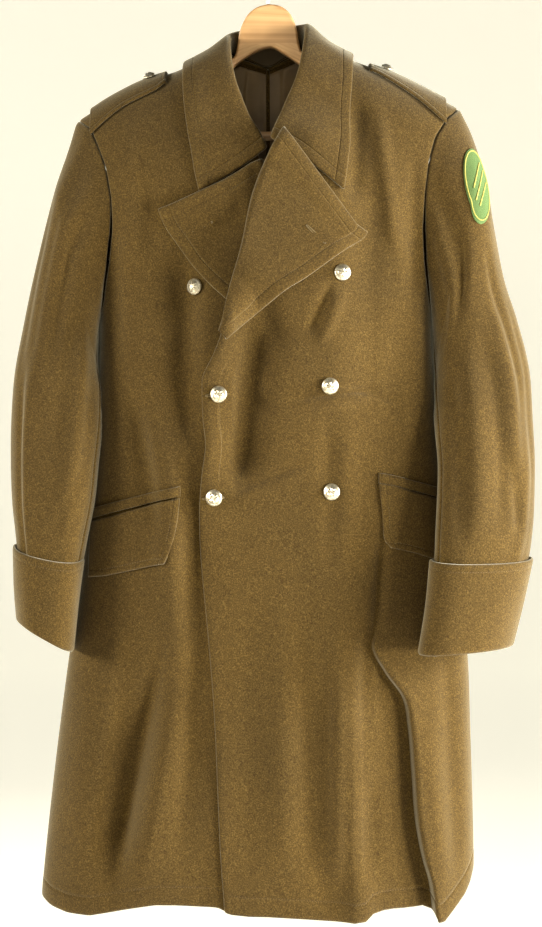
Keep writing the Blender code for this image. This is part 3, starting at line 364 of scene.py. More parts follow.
UPPER_FALLS = np.concatenate([
    SHOULDER_ROUND * (1 - np.cos(np.radians(np.linspace(0, 76, 13)))) / 395, np.linspace(0.12, 1, 86)[1:]])
LOWER_SHARES = np.linspace(0, 1, 176)[1:]
RIGHT_FRONT_EDGE = {
    "drop": (135, 155, 185, 222, 250, 276, 331, 405, 461, 510, 555, 600, 800, 1280),
    "x":    (-58, -56, -50, -37, -24, -11, 11, 30, 46, 60, 68, 68, 66, 62),
}
ARMHOLE = {
    "fall":        (0.00, 0.07, 0.17, 0.27, 0.41, 0.54, 0.67, 0.82, 0.93, 1.00),
    "front_right": (67, 59, 56.5, 55, 56, 59, 65, 75, 90, 112),
    "front_left":  (67, 59, 55.5, 55, 57, 60, 66, 76, 90, 112),
    "back":        (113, 119, 122, 124, 125, 124, 121, 117, 114, 112),
}
FRONT_HEM = {
    "x":    (-302, -285, -262, -232, -204, -180, -146, -120, -60, -54, -40, 0, 50, 90, 114, 127,
             137, 156, 185, 209, 217, 222, 229, 240, 258, 266, 273),
    "drop": (1252, 1262, 1268, 1270, 1264, 1259, 1253, 1253, 1256, 1262, 1266, 1267, 1270, 1273, 1276, 1274,
             1264, 1259, 1259, 1258, 1268, 1278, 1278, 1266, 1246, 1232, 1214),
}
# Where the hem's x is read, the middle of the fronts' hem, and the hem behind
HEM_READ_DROP, FRONT_HEM_DROP, BACK_HEM_DROP = 1260.0, 1262, 1238
# How far a front's edge is set back inside its lapel's roll, and the cloth's thickness
ROLL_SETBACK = 5.5
WALL = 2.4
# Least step between the last kept column of a sheet and the first of its turn
TURN_GAP = 0.6
# Places across a turned edge, from the cloth outwards: how far in from the edge, and how far behind the face
SEAM_TURN = ((5.0, 0.0), (3.4, 0.05), (2.4, 0.25), (1.7, 0.75), (1.35, 1.6), (1.3, 3.0), (1.3, 6.5))
FACED_EDGE = ((9.5, 0), (6, 0), (3.2, 0.02), (1.6, 0.2), (0.55, 0.7), (0.1, 1.5), (0.5, 2.3), (2.4, 2.6), (24, 2.7))
HEM_TURN = ((28, 0), (24.5, 0.0), (23.4, 0.7), (22.3, 0.0), (18, -0.2), (9, 0), (3, 0.1), (0.8, 0.6), (0.1, 1.6),
            (0.8, 2.5), (5, 2.8), (36, 2.9))


def hem_drop(angle):
    """Drop of the hem at an angle round the coat."""
    x = section(angle, HEM_READ_DROP)[..., 0]
    front = np.interp(x, FRONT_HEM["x"], FRONT_HEM["drop"])
    side = np.where(x < 0, FRONT_HEM["drop"][0], FRONT_HEM["drop"][-1])
    return np.where(np.abs(angle) <= 90, front, side + (BACK_HEM_DROP - side) * smooth(90, 140, np.abs(angle)))


def fallen(sign, x, fall, neck_drop):
    """Drop of a row at x: it follows the shoulder line and neckline, and levels out at the armpit."""
    reach = np.abs(x)
    neck = shoulder_drop(sign * NECK_POINT)
    top = np.where(reach < NECK_POINT, neck_drop + (neck - neck_drop) * reach / NECK_POINT,
                   shoulder_drop(sign * np.maximum(reach, NECK_POINT)))
    return top + (ARMPIT_DROP - top) * fall


def upper_drops(sign, fall, neck_drop):
    """Gives the drops of a row above the armpit from its angles."""
    def drops_at(angles):
        level = np.abs(np.asarray(angles, float))
        level = np.minimum(level, 90) if level.mean() < 90 else np.maximum(level, 90)
        drops = np.full(np.shape(level), 200.0)
        for _ in range(5):
            drops = fallen(sign, section(sign * level, drops)[..., 0], fall, neck_drop)
        return drops
    return drops_at


def lower_drops(share):
    """Gives the drops of a row below the armpit from its angles."""
    return lambda angles: ARMPIT_DROP + share * (hem_drop(angles) - ARMPIT_DROP)


def joined_row(stops, counts, drops_at):
    """Steps of (angle, drop) through some angles, evenly spaced along the cloth between each two."""
    row = []
    for start, end, count in zip(stops, stops[1:], counts):
        angles = np.linspace(start, end, 90)
        drops = drops_at(angles)
        lengths = distances(section(angles, drops))
        at = np.linspace(0, lengths[-1], count + 1)
        part = np.stack([np.interp(at, lengths, angles), np.interp(at, lengths, drops)], -1)
        row.append(part if not row else part[1:])
    return np.concatenate(row)


def edge_x(edge, drop):
    """x of a front's cut edge, set back inside the roll of its lapel."""
    back = ROLL_SETBACK * smooth(240, 290, drop) * (1 - smooth(540, 575, drop))
    return float(table(edge, "drop", "x", drop) + (-1 if edge is RIGHT_FRONT_EDGE else 1) * back)


def front_places(sign, edge, guides, counts):
    """(angle, drop) of a front's grid, rows down it and columns from its edge to the side seam."""
    side = "right" if sign < 0 else "left"
    neck = float(shoulder_drop(sign * NECK_POINT))
    rows = []
    for fall in UPPER_FALLS:
        inner = neck + (ARMPIT_DROP - neck) * fall
        stops = [float(angle_of(edge_x(edge, inner), inner))]
        for guide in guides:
            x = float(guide(inner))
            stops.append(float(angle_of(x, fallen(sign, x, fall, neck))))
        stops.append(sign * float(np.interp(fall, ARMHOLE["fall"], ARMHOLE["front_" + side])))
        rows.append(joined_row(stops, counts, upper_drops(sign, fall, neck)))
    for share in LOWER_SHARES:
        level = ARMPIT_DROP + share * (FRONT_HEM_DROP - ARMPIT_DROP)
        stops = [float(angle_of(edge_x(edge, level), level))]
        stops += [float(angle_of(float(guide(level)), level)) for guide in guides]
        rows.append(joined_row([*stops, sign * SIDE_SEAM_ANGLE], counts, lower_drops(share)))
    return np.array(rows)


def facing(points, inside):
    """Unit normals of a grid of points, away from an inner point or line."""
    normal = np.cross(np.gradient(points, axis=0), np.gradient(points, axis=1))
    normal /= np.maximum(np.linalg.norm(normal, axis=-1, keepdims=True), 1e-9)
    middle = np.s_[points.shape[0] // 4:-points.shape[0] // 4, points.shape[1] // 4:-points.shape[1] // 4]
    away = points - inside
    return normal * (1 if np.sum((normal * away)[middle]) >= 0 else -1)


def body_facing(grid):
    """Unit normals of a panel of the body, away from its middle plane."""
    return facing(grid, grid * np.array([0.7, 0, 1]))


def turned(points, outward, edges):
    """Turns edges of a sheet under. Edges give a side of the grid and the places across its turn."""
    for side, places in edges:
        swap = side in ("top", "bottom")
        grid, normal = (np.swapaxes(a, 0, 1) if swap else a for a in (points, outward))
        if side in ("left", "top"):
            grid, normal = grid[:, ::-1], normal[:, ::-1]
        back = distances(grid[:, ::-1], 1)
        drop_count = int(np.argmax((back[:, 1:] > places[0][0] + TURN_GAP).all(axis=0))) + 1
        kept, kept_normal = grid[:, :-drop_count], normal[:, :-drop_count]
        row = np.arange(len(grid))
        new, new_normal = [], []
        for inset, sunk in places:
            low = np.clip((back < inset).sum(axis=1) - 1, 0, back.shape[1] - 2)
            share = ((inset - back[row, low]) / np.maximum(back[row, low + 1] - back[row, low], 1e-9))[:, None]
            near, far = grid.shape[1] - 1 - low, grid.shape[1] - 2 - low
            n = normal[row, near] * (1 - share) + normal[row, far] * share
            n /= np.linalg.norm(n, axis=1, keepdims=True)
            new.append(grid[row, near] * (1 - share) + grid[row, far] * share - n * sunk)
            new_normal.append(n)
        grid = np.concatenate([kept, np.stack(new, 1)], axis=1)
        normal = np.concatenate([kept_normal, np.stack(new_normal, 1)], axis=1)
        if side in ("left", "top"):
            grid, normal = grid[:, ::-1], normal[:, ::-1]
        points, outward = (np.swapaxes(a, 0, 1) if swap else a for a in (grid, normal))
    return points


def placed(piece, node=None):
    """Puts a piece on the coat's one body and in place of its solid, if it has one."""
    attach(piece, "root")
    if node:
        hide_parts(node)
    return piece


def sew(name, points, thickness, finish, node, round_edges=0):
    """Makes a sheet of cloth from rows of points, gives it a wall, and puts it in place of its solid."""
    rows, columns = points.shape[:2]
    sheet = bmesh.new()
    layer = sheet.loops.layers.uv.new("cloth")
    bmesh.ops.create_grid(sheet, x_segments=columns - 1, y_segments=rows - 1, size=1)
    across, along = distances(points, 1), distances(points)
    across = across - across[:, columns // 2:columns // 2 + 1]
    sheet.verts.ensure_lookup_table()
    for face in sheet.faces:
        for loop in face.loops:
            r, c = divmod(loop.vert.index, columns)
            loop[layer].uv = (across[r, c] * MM, along[r, c] * MM)
    for vert, point in zip(sheet.verts, points.reshape(-1, 3)):
        vert.co = point * MM
    bmesh.ops.remove_doubles(sheet, verts=sheet.verts, dist=1e-6)
    piece = finished(name, sheet, finish)
    wall = piece.modifiers.new("wall", "SOLIDIFY")
    wall.thickness = thickness * MM
    wall.offset = 0
    if round_edges:
        rim = piece.modifiers.new("soft_rim", "BEVEL")
        rim.limit_method = "ANGLE"
        rim.angle_limit = math.radians(60)
        rim.width = round_edges * MM
        rim.segments = 2
    return placed(piece, node)


def ramp(add, link, texture, *stops):
    """Colours at places along a ramp, read by a texture's value."""
    colours = add("ValToRGB")
    elements = colours.color_ramp.elements
    for element, (place, colour) in zip(elements, (stops[0], stops[-1])):
        element.position, element.color = place, (*colour, 1)
    for place, colour in stops[1:-1]:
        elements.new(place).color = (*colour, 1)
    link(texture.outputs["Fac"], colours.inputs["Fac"])
    return colours.outputs["Color"]


def press(shader, add, link, height, strength, distance):
    """Presses a texture's value into a material's surface."""
    bump = add("Bump", in_Strength=strength, in_Distance=distance)
    link(height, bump.inputs["Height"])
    link(bump.outputs["Normal"], shader.inputs["Normal"])


def varied(add, link, texture, low, high):
    """A texture's middle values spread from low to high."""
    spread = add("MapRange", in_From_Min=0.3, in_From_Max=0.7, in_To_Min=low, in_To_Max=high)
    link(texture.outputs["Fac"], spread.inputs["Value"])
    return spread.outputs["Result"]


def scaled(add, link, colour, share):
    """A colour made darker or lighter by a varying share."""
    tinted = add("VectorMath", operation="SCALE")
    link(colour, tinted.inputs[0])
    link(share, tinted.inputs["Scale"])
    return tinted.outputs["Vector"]


def patterned(name, kind, stops, roughness, pressed=None, **settings):
    """A material whose colour follows one texture, which may also be pressed into its surface."""
    made, shader, add, link = nodes_of(name)
    texture = add("Tex" + kind, **settings)
    link(add("TexCoord").outputs["Object"], texture.inputs["Vector"])
    link(ramp(add, link, texture, *stops), shader.inputs["Base Color"])
    if pressed:
        press(shader, add, link, texture.outputs["Fac"], *pressed)
    tune(shader, Roughness=roughness)
    return made, shader, add, link, texture


def milled_wool(name, dark, middle, light):
    """Felted wool: mixed fibres seen as fine flecks, a brushed nap, and patches rubbed paler."""
    made, shader, add, link = nodes_of(name)
    place = add("TexCoord")
    fleck = add("TexNoise", in_Scale=620.0, in_Detail=3.0, in_Roughness=0.62)
    nap = add("TexNoise", in_Scale=150.0, in_Detail=2.0, in_Roughness=0.55)
    patch = add("TexNoise", in_Scale=9.0, in_Detail=3.0, in_Roughness=0.5)
    for texture in (fleck, nap, patch):
        link(place.outputs["Object"], texture.inputs["Vector"])
    both = add("Math", operation="MULTIPLY")
    link(varied(add, link, patch, 0.90, 1.10), both.inputs[0])
    link(varied(add, link, nap, 0.90, 1.10), both.inputs[1])
    colour = ramp(add, link, fleck, (0.33, dark), (0.5, middle), (0.70, light))
    link(scaled(add, link, colour, both.outputs[0]), shader.inputs["Base Color"])
    tune(shader, Roughness=0.95, Specular_IOR_Level=0.15, Sheen_Weight=0.50, Sheen_Roughness=0.42,
         Sheen_Tint=(0.95, 0.92, 0.74, 1))
    deep = add("Math", operation="MULTIPLY_ADD")
    deep.inputs[1].default_value = 0.5
    link(nap.outputs["Fac"], deep.inputs[0])
    link(fleck.outputs["Fac"], deep.inputs[2])
    press(shader, add, link, deep.outputs[0], 0.55, 0.0007)
    return made


wool = milled_wool("khaki_wool", (0.036, 0.0190, 0.0033), (0.068, 0.0388, 0.0068), (0.126, 0.0805, 0.0205))

places = front_places(-1, RIGHT_FRONT_EDGE, [], [88])
right_front = section(places[..., 0], places[..., 1])
points = turned(right_front, body_facing(right_front),
                [("left", FACED_EDGE), ("bottom", HEM_TURN), ("right", SEAM_TURN), ("top", SEAM_TURN)])
piece = sew("front_right_cloth", points, WALL, wool, "front_right")
# Edges that are stitched in view: the cloth, its turned edge, the turn's profile, and which way it faces
stitched = [(points, "bottom", HEM_TURN, (0, -1, 0))]

# Left front
# The wearer's left front buttons over the right one. It is the same wool, with a deep loose pleat of
# the skirt beside the pocket, where the heavy cloth hangs doubled.

# How far the left front stands out below and behind the lapels, how far across, and its edge's lift
OVERLAP_OUT, LAPEL_ZONE_OUT, OVERLAP_REACH, EDGE_LIFT = 5.0, 14.0, 80.0, 7.0
LEFT_FRONT_EDGE = {
    "drop": (128, 150, 185, 222, 250, 276, 331, 405, 461, 510, 555, 580, 624, 660, 703, 752, 800,
             912, 996, 1115, 1200, 1262, 1280),
    "x":    (58, 55, 45, 31, 17, 3, -19, -35, -51, -63, -79, -85, -84, -80, -85, -88, -87,
             -77, -70, -64, -60, -55, -54),
}


def overlap_out(x, drop):
    """How far the left front stands in front of the surface that both fronts share."""
    depth = OVERLAP_OUT + (LAPEL_ZONE_OUT - OVERLAP_OUT) * (1 - smooth(560, 660, drop))
    from_edge = x - table(LEFT_FRONT_EDGE, "drop", "x", drop)
    lifted = EDGE_LIFT * (1 - smooth(0, 30, from_edge)) * smooth(500, 570, drop) * (1 - smooth(680, 790, drop))
    return depth * (1 - smooth(OVERLAP_REACH, OVERLAP_REACH + 60, x)) * smooth(190, 285, drop) + lifted


def pleat_at(shift):
    return lambda drop: table(PLEAT, "drop", "x", drop) + shift


places = front_places(1, LEFT_FRONT_EDGE, [lambda drop: 112.0, pleat_at(-PLEAT_STEP / 2), pleat_at(PLEAT_STEP / 2)],
                      [48, 8, 6, 38])
left_front = section(places[..., 0], places[..., 1])
left_front[..., 1] -= overlap_out(left_front[..., 0], places[..., 1])
left_front_facing = body_facing(left_front)
points = turned(left_front, left_front_facing,
                [("left", FACED_EDGE), ("bottom", HEM_TURN), ("right", SEAM_TURN), ("top", SEAM_TURN)])
piece = sew("front_left_cloth", points, WALL, wool, "front_left")
stitched.append((points, "bottom", HEM_TURN, (0, -1, 0)))

# Backs
# The back is two panels joined by a centre seam, of the same wool, hanging in three loose folds.

BACK_NECK_DROP = 152.0


def back_places(sign, counts):
    """(angle, drop) of a back's grid, columns from the centre back seam to the side seam."""
    rows = []
    for fall in UPPER_FALLS:
        drops_at = upper_drops(sign, fall, BACK_NECK_DROP)
        inner = float(fallen(sign, NECK_POINT, fall, BACK_NECK_DROP))
        neck_angle = sign * (180 - abs(float(angle_of(sign * NECK_POINT, inner))))
        armhole = sign * float(np.interp(fall, ARMHOLE["fall"], ARMHOLE["back"]))
        rows.append(joined_row([sign * 180.0, neck_angle, armhole], counts, drops_at))
    neck_angle = sign * (180 - abs(float(angle_of(sign * NECK_POINT, 700))))
    for share in LOWER_SHARES:
        rows.append(joined_row([sign * 180.0, neck_angle, sign * SIDE_SEAM_ANGLE], counts, lower_drops(share)))
    return np.array(rows)


backs = {}
for side, sign in (("right", -1), ("left", 1)):
    places = back_places(sign, [12, 42])
    backs[side] = section(places[..., 0], places[..., 1])
    points = turned(backs[side], body_facing(backs[side]),
                    [("left", SEAM_TURN), ("bottom", HEM_TURN), ("right", SEAM_TURN), ("top", SEAM_TURN)])
    piece = sew("back_" + side + "_cloth", points, WALL, wool, "back_" + side)
    stitched.append((points, "bottom", HEM_TURN, (0, 1, 0)))

# Sleeves
# Two sleeves, each of a wide outer piece and a narrow under piece, set into the armholes with the
# sleeve head standing a little over the seam. They hang forwards from the elbow.

# Columns: outer_x, outer_drop, inner_x, inner_drop, middle_y, half_depth, lean
RIGHT_SLEEVE = (
    (-263, 250, -224, 540, -4, 46, 0.00),
    (-269, 278, -226, 549, -5, 50, 0.00),
    (-280, 315, -225, 558, -6, 54, 0.00),
    (-294, 369, -223, 568, -7, 56, 0.00),
    (-309, 434, -221, 580, -9, 57, 0.02),
    (-322, 503, -219, 595, -13, 57, 0.04),
    (-333, 564, -218, 616, -18, 56, 0.07),
    (-337, 627, -219, 646, -24, 55, 0.10),
    (-338, 679, -223, 681, -29, 54, 0.13),
    (-336, 732, -228, 731, -34, 53, 0.16),
    (-331, 772, -236, 774, -39, 51, 0.19),
    (-327, 805, -244, 812, -43, 48, 0.21),
    (-324, 850, -256, 862, -49, 46, 0.23),
    (-321, 884, -261, 912, -53, 45, 0.24),
)
LEFT_SLEEVE = (
    (262, 226, 218, 540, -4, 46, 0.00),
    (272, 250, 219, 549, -5, 50, 0.00),
    (279, 277, 219, 558, -6, 53, 0.00),
    (290, 315, 219, 567, -7, 55, 0.00),
    (298, 369, 219, 577, -9, 56, 0.03),
    (311, 438, 219, 588, -12, 56, 0.06),
    (328, 492, 219, 602, -17, 55, 0.10),
    (344, 559, 219, 620, -25, 54, 0.15),
    (348, 627, 220, 645, -35, 52, 0.19),
    (350, 685, 222, 686, -50, 49, 0.23),
    (348, 737, 220, 737, -62, 47, 0.27),
    (344, 776, 217, 776, -70, 45, 0.30),
    (338, 809, 215, 809, -77, 43, 0.32),
    (324, 861, 209, 867, -86, 41, 0.34),
    (312, 907, 202, 913, -92, 40, 0.35),
)
# Squareness of the rings, gap at the sleeve head, distance from the body's cloth, and turn at the armpit
SLEEVE_POWER, SLEEVE_HEAD_GAP, SLEEVE_LAP, ARMPIT_TURN = 2.25, 0.3, 2.7, 200
# Where the two pieces of a sleeve meet, as turns round it: 0 is the outer side, 90 the front, 180 the inner side
FRONT_SEAM_TURN, BACK_SEAM_TURN = 158.0, 262.0
# Creases of the sleeves: side, turn and level where each starts and ends, its width in degrees, and its height
SLEEVE_CREASES = [
    ("right", 62, 0.6, 66, 7.5, 9, 4.2),
    ("right", 76, 1.0, 82, 7.4, 8, -4.2),
    ("right", 56, 6.0, 62, 14.0, 10, 4.6),
    ("right", 42, 6.0, 50, 13.8, 8, -4.0),
    ("right", 104, 3.0, 96, 9.5, 11, -4.4),
    ("right", 120, 3.0, 112, 12.0, 12, 5.0),
    ("right", 128, 9.0, 92, 11.5, 9, -2.4),
    ("right", 24, 3.0, 34, 8.0, 9, -2.2),
    ("right", 300, 2.0, 310, 9.0, 14, -3.0),
    ("right", 330, 4.0, 325, 12.0, 14, 3.0),
    ("right", 280, 5.0, 290, 13.0, 12, 3.2),
    ("left", 88, 0.4, 112, 5.0, 10, 4.5),
    ("left", 74, 0.6, 98, 5.4, 8, -5.5),
    ("left", 52, 4.6, 48, 9.0, 7, -3.2),
    ("left", 60, 5.2, 60, 11.0, 9, 3.4),
    ("left", 84, 5.8, 76, 12.4, 9, -3.4),
    ("left", 104, 5.5, 100, 13.0, 12, 4.0),
    ("left", 70, 9.4, 46, 12.4, 8, -3.0),
    ("left", 40, 9.0, 52, 14.6, 9, 2.6),
    ("left", 32, 6.0, 28, 11.0, 8, -2.2),
    ("left", 128, 6.0, 122, 12.5, 10, -3.0),
    ("left", 300, 2.0, 308, 9.0, 14, -3.2),
    ("left", 326, 4.0, 332, 12.0, 14, 3.0),
    ("left", 276, 5.0, 288, 13.0, 12, 3.4),
]


def ring_facing(rings):
    """Unit normals of a tube's rings, away from its middle."""
    return facing(rings, rings.mean(axis=1, keepdims=True))


def tube_ring(row, turns):
    """One ring of a sleeve or cuff. A cuff's row ends with how far its front sags."""
    outer_x, outer_drop, inner_x, inner_drop, middle_y, half_depth, lean, *sag = row
    turns = np.radians(turns)
    along = np.sign(np.cos(turns)) * np.abs(np.cos(turns)) ** (2 / SLEEVE_POWER)
    forward = np.sign(np.sin(turns)) * np.abs(np.sin(turns)) ** (2 / SLEEVE_POWER)
    half_x, half_fall = (outer_x - inner_x) / 2, (outer_drop - inner_drop) / 2
    x = (outer_x + inner_x) / 2 + half_x * along
    drop = (outer_drop + inner_drop) / 2 + half_fall * along + (sag[0] if sag else 0) * np.maximum(forward, 0)
    y = middle_y - half_depth * forward + lean * half_x * along * np.sign(outer_x)
    return np.stack([x, y, -drop], -1)


def clear_of_body(points, out, turns):
    """Moves the inner side of a sleeve outwards where it is less than out from the body's cloth."""
    x, y, drop = points[..., 0], points[..., 1], -points[..., 2]
    front = y < 0
    rise = np.where(front, fold_rise("front", x, drop), 0)
    flat = y + rise
    depth = np.where(front, table(BODY, "drop", "front", drop), table(BODY, "drop", "back", drop)) + out
    width = half_width(np.sign(x), drop) + out
    ratio = (np.abs(x / width) ** SECTION_POWER + np.abs(flat / depth) ** SECTION_POWER) ** (1 / SECTION_POWER)
    inner = smooth(55, 100, turns) * (1 - smooth(260, 305, turns))
    grow = 1 + np.maximum(0, 1 / ratio - 1) * (1 - smooth(760, 840, drop)) * inner
    return np.stack([x * grow, flat * grow - rise, points[..., 2]], -1)


def armhole_loop(front, back, sign, turns):
    """The armhole's points at turns round it: down the front to the armpit, then up the back."""
    ends = {}
    for name, half, start in (("front", front, 0), ("back", back, 360)):
        lengths = distances(half)
        ends[name] = (start + (ARMPIT_TURN - start) * lengths / lengths[-1], half)
    half_turns = np.concatenate([ends["front"][0], ends["back"][0][::-1]])
    half = np.concatenate([ends["front"][1], ends["back"][1][::-1]])
    loop = np.stack([np.interp(turns, half_turns, half[:, k]) for k in range(3)], -1)
    lower = smooth(70, 125, turns) * (1 - smooth(235, 290, turns))
    loop[:, 0] += sign * SLEEVE_HEAD_GAP
    return loop + (clear_of_body(loop, SLEEVE_LAP, turns) - loop) * lower[:, None]


def through(rows, levels):
    """Rows of numbers read at levels between them, along smooth curves."""
    columns = {str(k): column for k, column in enumerate(np.array(rows, float).T)}
    columns["level"] = np.arange(len(rows))
    return np.stack([table(columns, "level", str(k), levels) for k in range(len(rows[0]))], -1)


def sleeve_surface(loop, turns, rows, levels):
    """Rings of a sleeve. Level 0 is the armhole, and level n is row n of its table."""
    first = tube_ring(rows[0], turns)
    outs = np.interp(levels, (0, 1, 2, 3), (SLEEVE_LAP, 3.0, 3.2, 3.2))
    rings = []
    for level, out in zip(levels, outs):
        row = through(rows, np.array([max(level - 1, 0)]))[0]
        tube = tube_ring(row, turns)
        share = float(np.interp(level, (0, 1, 2, 3), (0, 0.3, 0.65, 1)))
        start = loop + (tube - first) * 0.6
        ring = start * (1 - share) + tube * share
        rings.append(clear_of_body(ring, out, turns) if level > 0 else ring)
    return np.array(rings)


def sleeve_folds(side, rings, turns, levels):
    """Raises and sinks a sleeve's surface along its creases."""
    outward = ring_facing(rings)
    turn, level = np.meshgrid(turns, levels)
    rise = ripple(turn * 1.6 + (0 if side == "left" else 900), level * 48, 0.8) * smooth(0.3, 1.6, level)
    for where, turn0, level0, turn1, level1, width, height in SLEEVE_CREASES:
        if where != side:
            continue
        along = (level - level0) / (level1 - level0)
        away = turn - (turn0 + (turn1 - turn0) * along)
        away = (away + 180) % 360 - 180
        rise = rise + height * np.exp(-((away / width) ** 2)) * smooth(0, 0.3, along) * (1 - smooth(0.7, 1, along))
    return rings + outward * rise[..., None]


fronts = {"right": right_front, "left": left_front}
sleeves = {}
upper_rows = len(UPPER_FALLS)
for side, sign, rows in (("right", -1, RIGHT_SLEEVE), ("left", 1, LEFT_SLEEVE)):
    levels = np.concatenate([np.linspace(0, 3, 34), np.linspace(3, len(rows), 130)[1:]])
    turns = np.linspace(BACK_SEAM_TURN - 360, BACK_SEAM_TURN, 150)
    seam = int(np.argmin(np.abs(turns - FRONT_SEAM_TURN)))
    loop = armhole_loop(fronts[side][:upper_rows, -1], backs[side][:upper_rows, -1], sign, turns % 360)
    rings = sleeve_folds(side, sleeve_surface(loop, turns % 360, rows, levels), turns, levels)
    sleeves[side] = (rings, turns, levels)
    outward = ring_facing(rings)
    for name, columns in (("top_sleeve_", np.s_[:seam + 1]), ("under_sleeve_", np.s_[seam:])):
        points = turned(rings[:, columns], outward[:, columns],
                        [("left", SEAM_TURN), ("right", SEAM_TURN), ("top", SEAM_TURN)])
        piece = sew(name + side + "_cloth", points, WALL, wool, name + side)

# Cuffs
# Deep turned-back cuffs of the same wool, doubled, that stand away from the sleeve at the top and
# open at the wrist. Their upper edges sag a little in front.

CUFFS = {
    "right": ((-334, 790, -241, 808, -43, 54, 0.21, 9), (-332, 841, -248, 867, -49, 52, 0.23, 4),
              (-329, 887, -254, 927, -53, 51, 0.24, 0)),
    "left": ((345, 806, 209, 807, -78, 48.5, 0.32, 6), (332, 861, 202.5, 867, -87, 46.3, 0.34, 4),
             (318, 918, 193, 926, -93, 46, 0.35, 2)),
}
CUFF_TOP = ((12.5, 0), (10.8, 0.0), (9.6, 0.55), (8.4, 0.0), (5, 0), (2.4, 0.1), (0.8, 0.5), (0.1, 1.4), (0.8, 2.3),
            (4, 2.5))
CUFF_BOTTOM = ((8, 0), (4, 0), (1.6, 0.3), (0.3, 1.2), (0.3, 2.4), (1.6, 3.4), (6, 3.8), (26, 4.0))

for side in ("right", "left"):
    levels = np.linspace(0, 2, 46)
    turns = np.linspace(200, 560, 145)
    rings = np.array([tube_ring(row, turns) for row in through(CUFFS[side], levels)])
    outward = ring_facing(rings)
    turn, level = np.meshgrid(turns, levels)
    around = np.radians(turn)
    rings = rings + outward * (ripple(90 * np.cos(around) + 40, 90 * np.sin(around) + level * 60, 0.6))[..., None]
    points = turned(rings, outward, [("top", CUFF_TOP), ("bottom", CUFF_BOTTOM)])
    piece = sew("cuff_" + side + "_cloth", points, WALL, wool, "cuff_" + side)
    stitched.append((points, "top", CUFF_TOP, "round"))

# Collar
# A deep collar of two layers of the same wool over canvas. It stands inside the neck, rolls over
# and lies on the shoulders, and a line of stitching runs inside its edge.

COLLAR_COLUMNS = ("where", "neckline", "roll_x", "roll_lean", "roll_drop", "edge_x", "edge_y", "edge_drop",
                  "bend_x", "bend_drop", "out")
COLLAR = (
    ("right", 272, -4, -9, 271, -89, -72, 329, -44, 303, 5.4),
    ("right", 252, -13, -9, 250, -95, -69, 302, -52, 272, 5.6),
    ("right", 234, -25, -9, 231, -99, -65, 276, -58, 247, 6.4),
    ("right", 213, -34, -9, 209, -104, -62, 250, -66, 222, 7.0),
    ("right", 194, -42, -8, 187, -108, -56, 222, -73, 198, 7.4),
    ("right", 174, -48, -4, 162, -110, -46, 196, -78, 170, 7.5),
    ("right", 153, -51, 1, 137, -110, -28, 171, -80, 148, 8.0),
    ("right", 138, -52, 2, 120, -106, 4, 156, -79, 134, 8.5),
    ("back", -50, -46, 6, 108, -88, 30, 172, -66, 134, 8.5),
    ("back", -28, -27, 10, 101, -48, 48, 186, -37, 138, 7.5),
    ("back", 0, 0, 10, 98, 0, 52, 190, 0, 140, 7.0),
    ("back", 28, 28, 10, 98, 50, 48, 184, 39, 136, 7.5),
    ("back", 50, 46, 6, 98, 89, 30, 164, 67, 124, 8.5),
    ("left", 130, 52, 2, 104, 107, 5, 149, 79, 122, 9.6),
    ("left", 143, 50, 1, 120, 109, -27, 160, 80, 134, 9.0),
    ("left", 160, 46, -3, 143, 109, -45, 185, 78, 158, 7.5),
    ("left", 178, 41, -6, 166, 107, -55, 212, 74, 183, 7.4),
    ("left", 196, 34, -8, 188, 105, -60, 238, 69, 208, 7.4),
    ("left", 216, 25, -9, 211, 104, -66, 264, 64, 232, 7.4),
    ("left", 239, 15, -10, 236, 101, -74, 293, 57, 259, 8.0),
    ("left", 261, 5, -10, 260, 97, -80, 327, 40, 282, 7.8),
)
# Radius of the collar's roll, and the wall of each doubled piece
ROLL_RADIUS, HALF_WALL = 4.8, 1.9
DOUBLED_EDGE = ((19, 0), (17.2, 0), (16.2, 0.15), (15.4, 0.75), (14.6, 0.15), (13.4, 0), (8, -0.1), (3, 0.05),
                (1.3, 0.35), (0.35, 1.0), (0.1, 1.7), (0.5, 2.1), (3, 2.3), (26, 2.4))


def outer_cloth(sign, x, drop):
    """The face of a front, as a point for each x and drop, with the left front's overlap."""
    point = section(angle_of(x, drop), drop)
    if sign > 0:
        point[..., 1] -= overlap_out(point[..., 0], drop)
    return point


def cloth_samples(grids):
    """The points of some panels with their outward normals."""
    normals = [body_facing(grid) for grid in grids]
    return np.concatenate([g.reshape(-1, 3) for g in grids]), np.concatenate([n.reshape(-1, 3) for n in normals])


def lay(points, out, samples):
    """Moves points so that they lie out mm from the coat's cloth."""
    at, normal = samples
    laid = []
    for point in points.reshape(-1, 3):
        gap = np.sum((at - point) ** 2, -1)
        near = np.argpartition(gap, 8)[:8]
        weight = 1 / (gap[near] + 4.0)
        n = np.sum(normal[near] * weight[:, None], 0)
        n /= np.linalg.norm(n)
        base = np.sum(at[near] * weight[:, None], 0) / np.sum(weight)
        laid.append(point + n * (out - np.dot(point - base, n)))
    return np.array(laid).reshape(points.shape)


def curve_through(points, counts):
    """A smooth curve through points, or through whole rows of them, with steps between each two."""
    points = np.asarray(points, float)
    before = np.concatenate([points[:1] * 2 - points[1:2], points, points[-1:] * 2 - points[-2:-1]])
    line = [points[0]]
    for i, count in enumerate(counts):
        a, b, c, d = before[i:i + 4]
        for t in np.arange(1, count + 1) / count:
            line.append(0.5 * (2 * b + (c - a) * t + (2 * a - 5 * b + 4 * c - d) * t**2
                               + (3 * b - a - 3 * c + d) * t**3))
    return np.array(line)


def evened(grid, count):
    """The same rows with their points spaced evenly."""
    return np.array([[np.interp(np.linspace(0, line[-1], count), line, row[:, k]) for k in range(3)]
                     for line, row in zip(distances(grid, 1), grid)]).transpose(0, 2, 1)


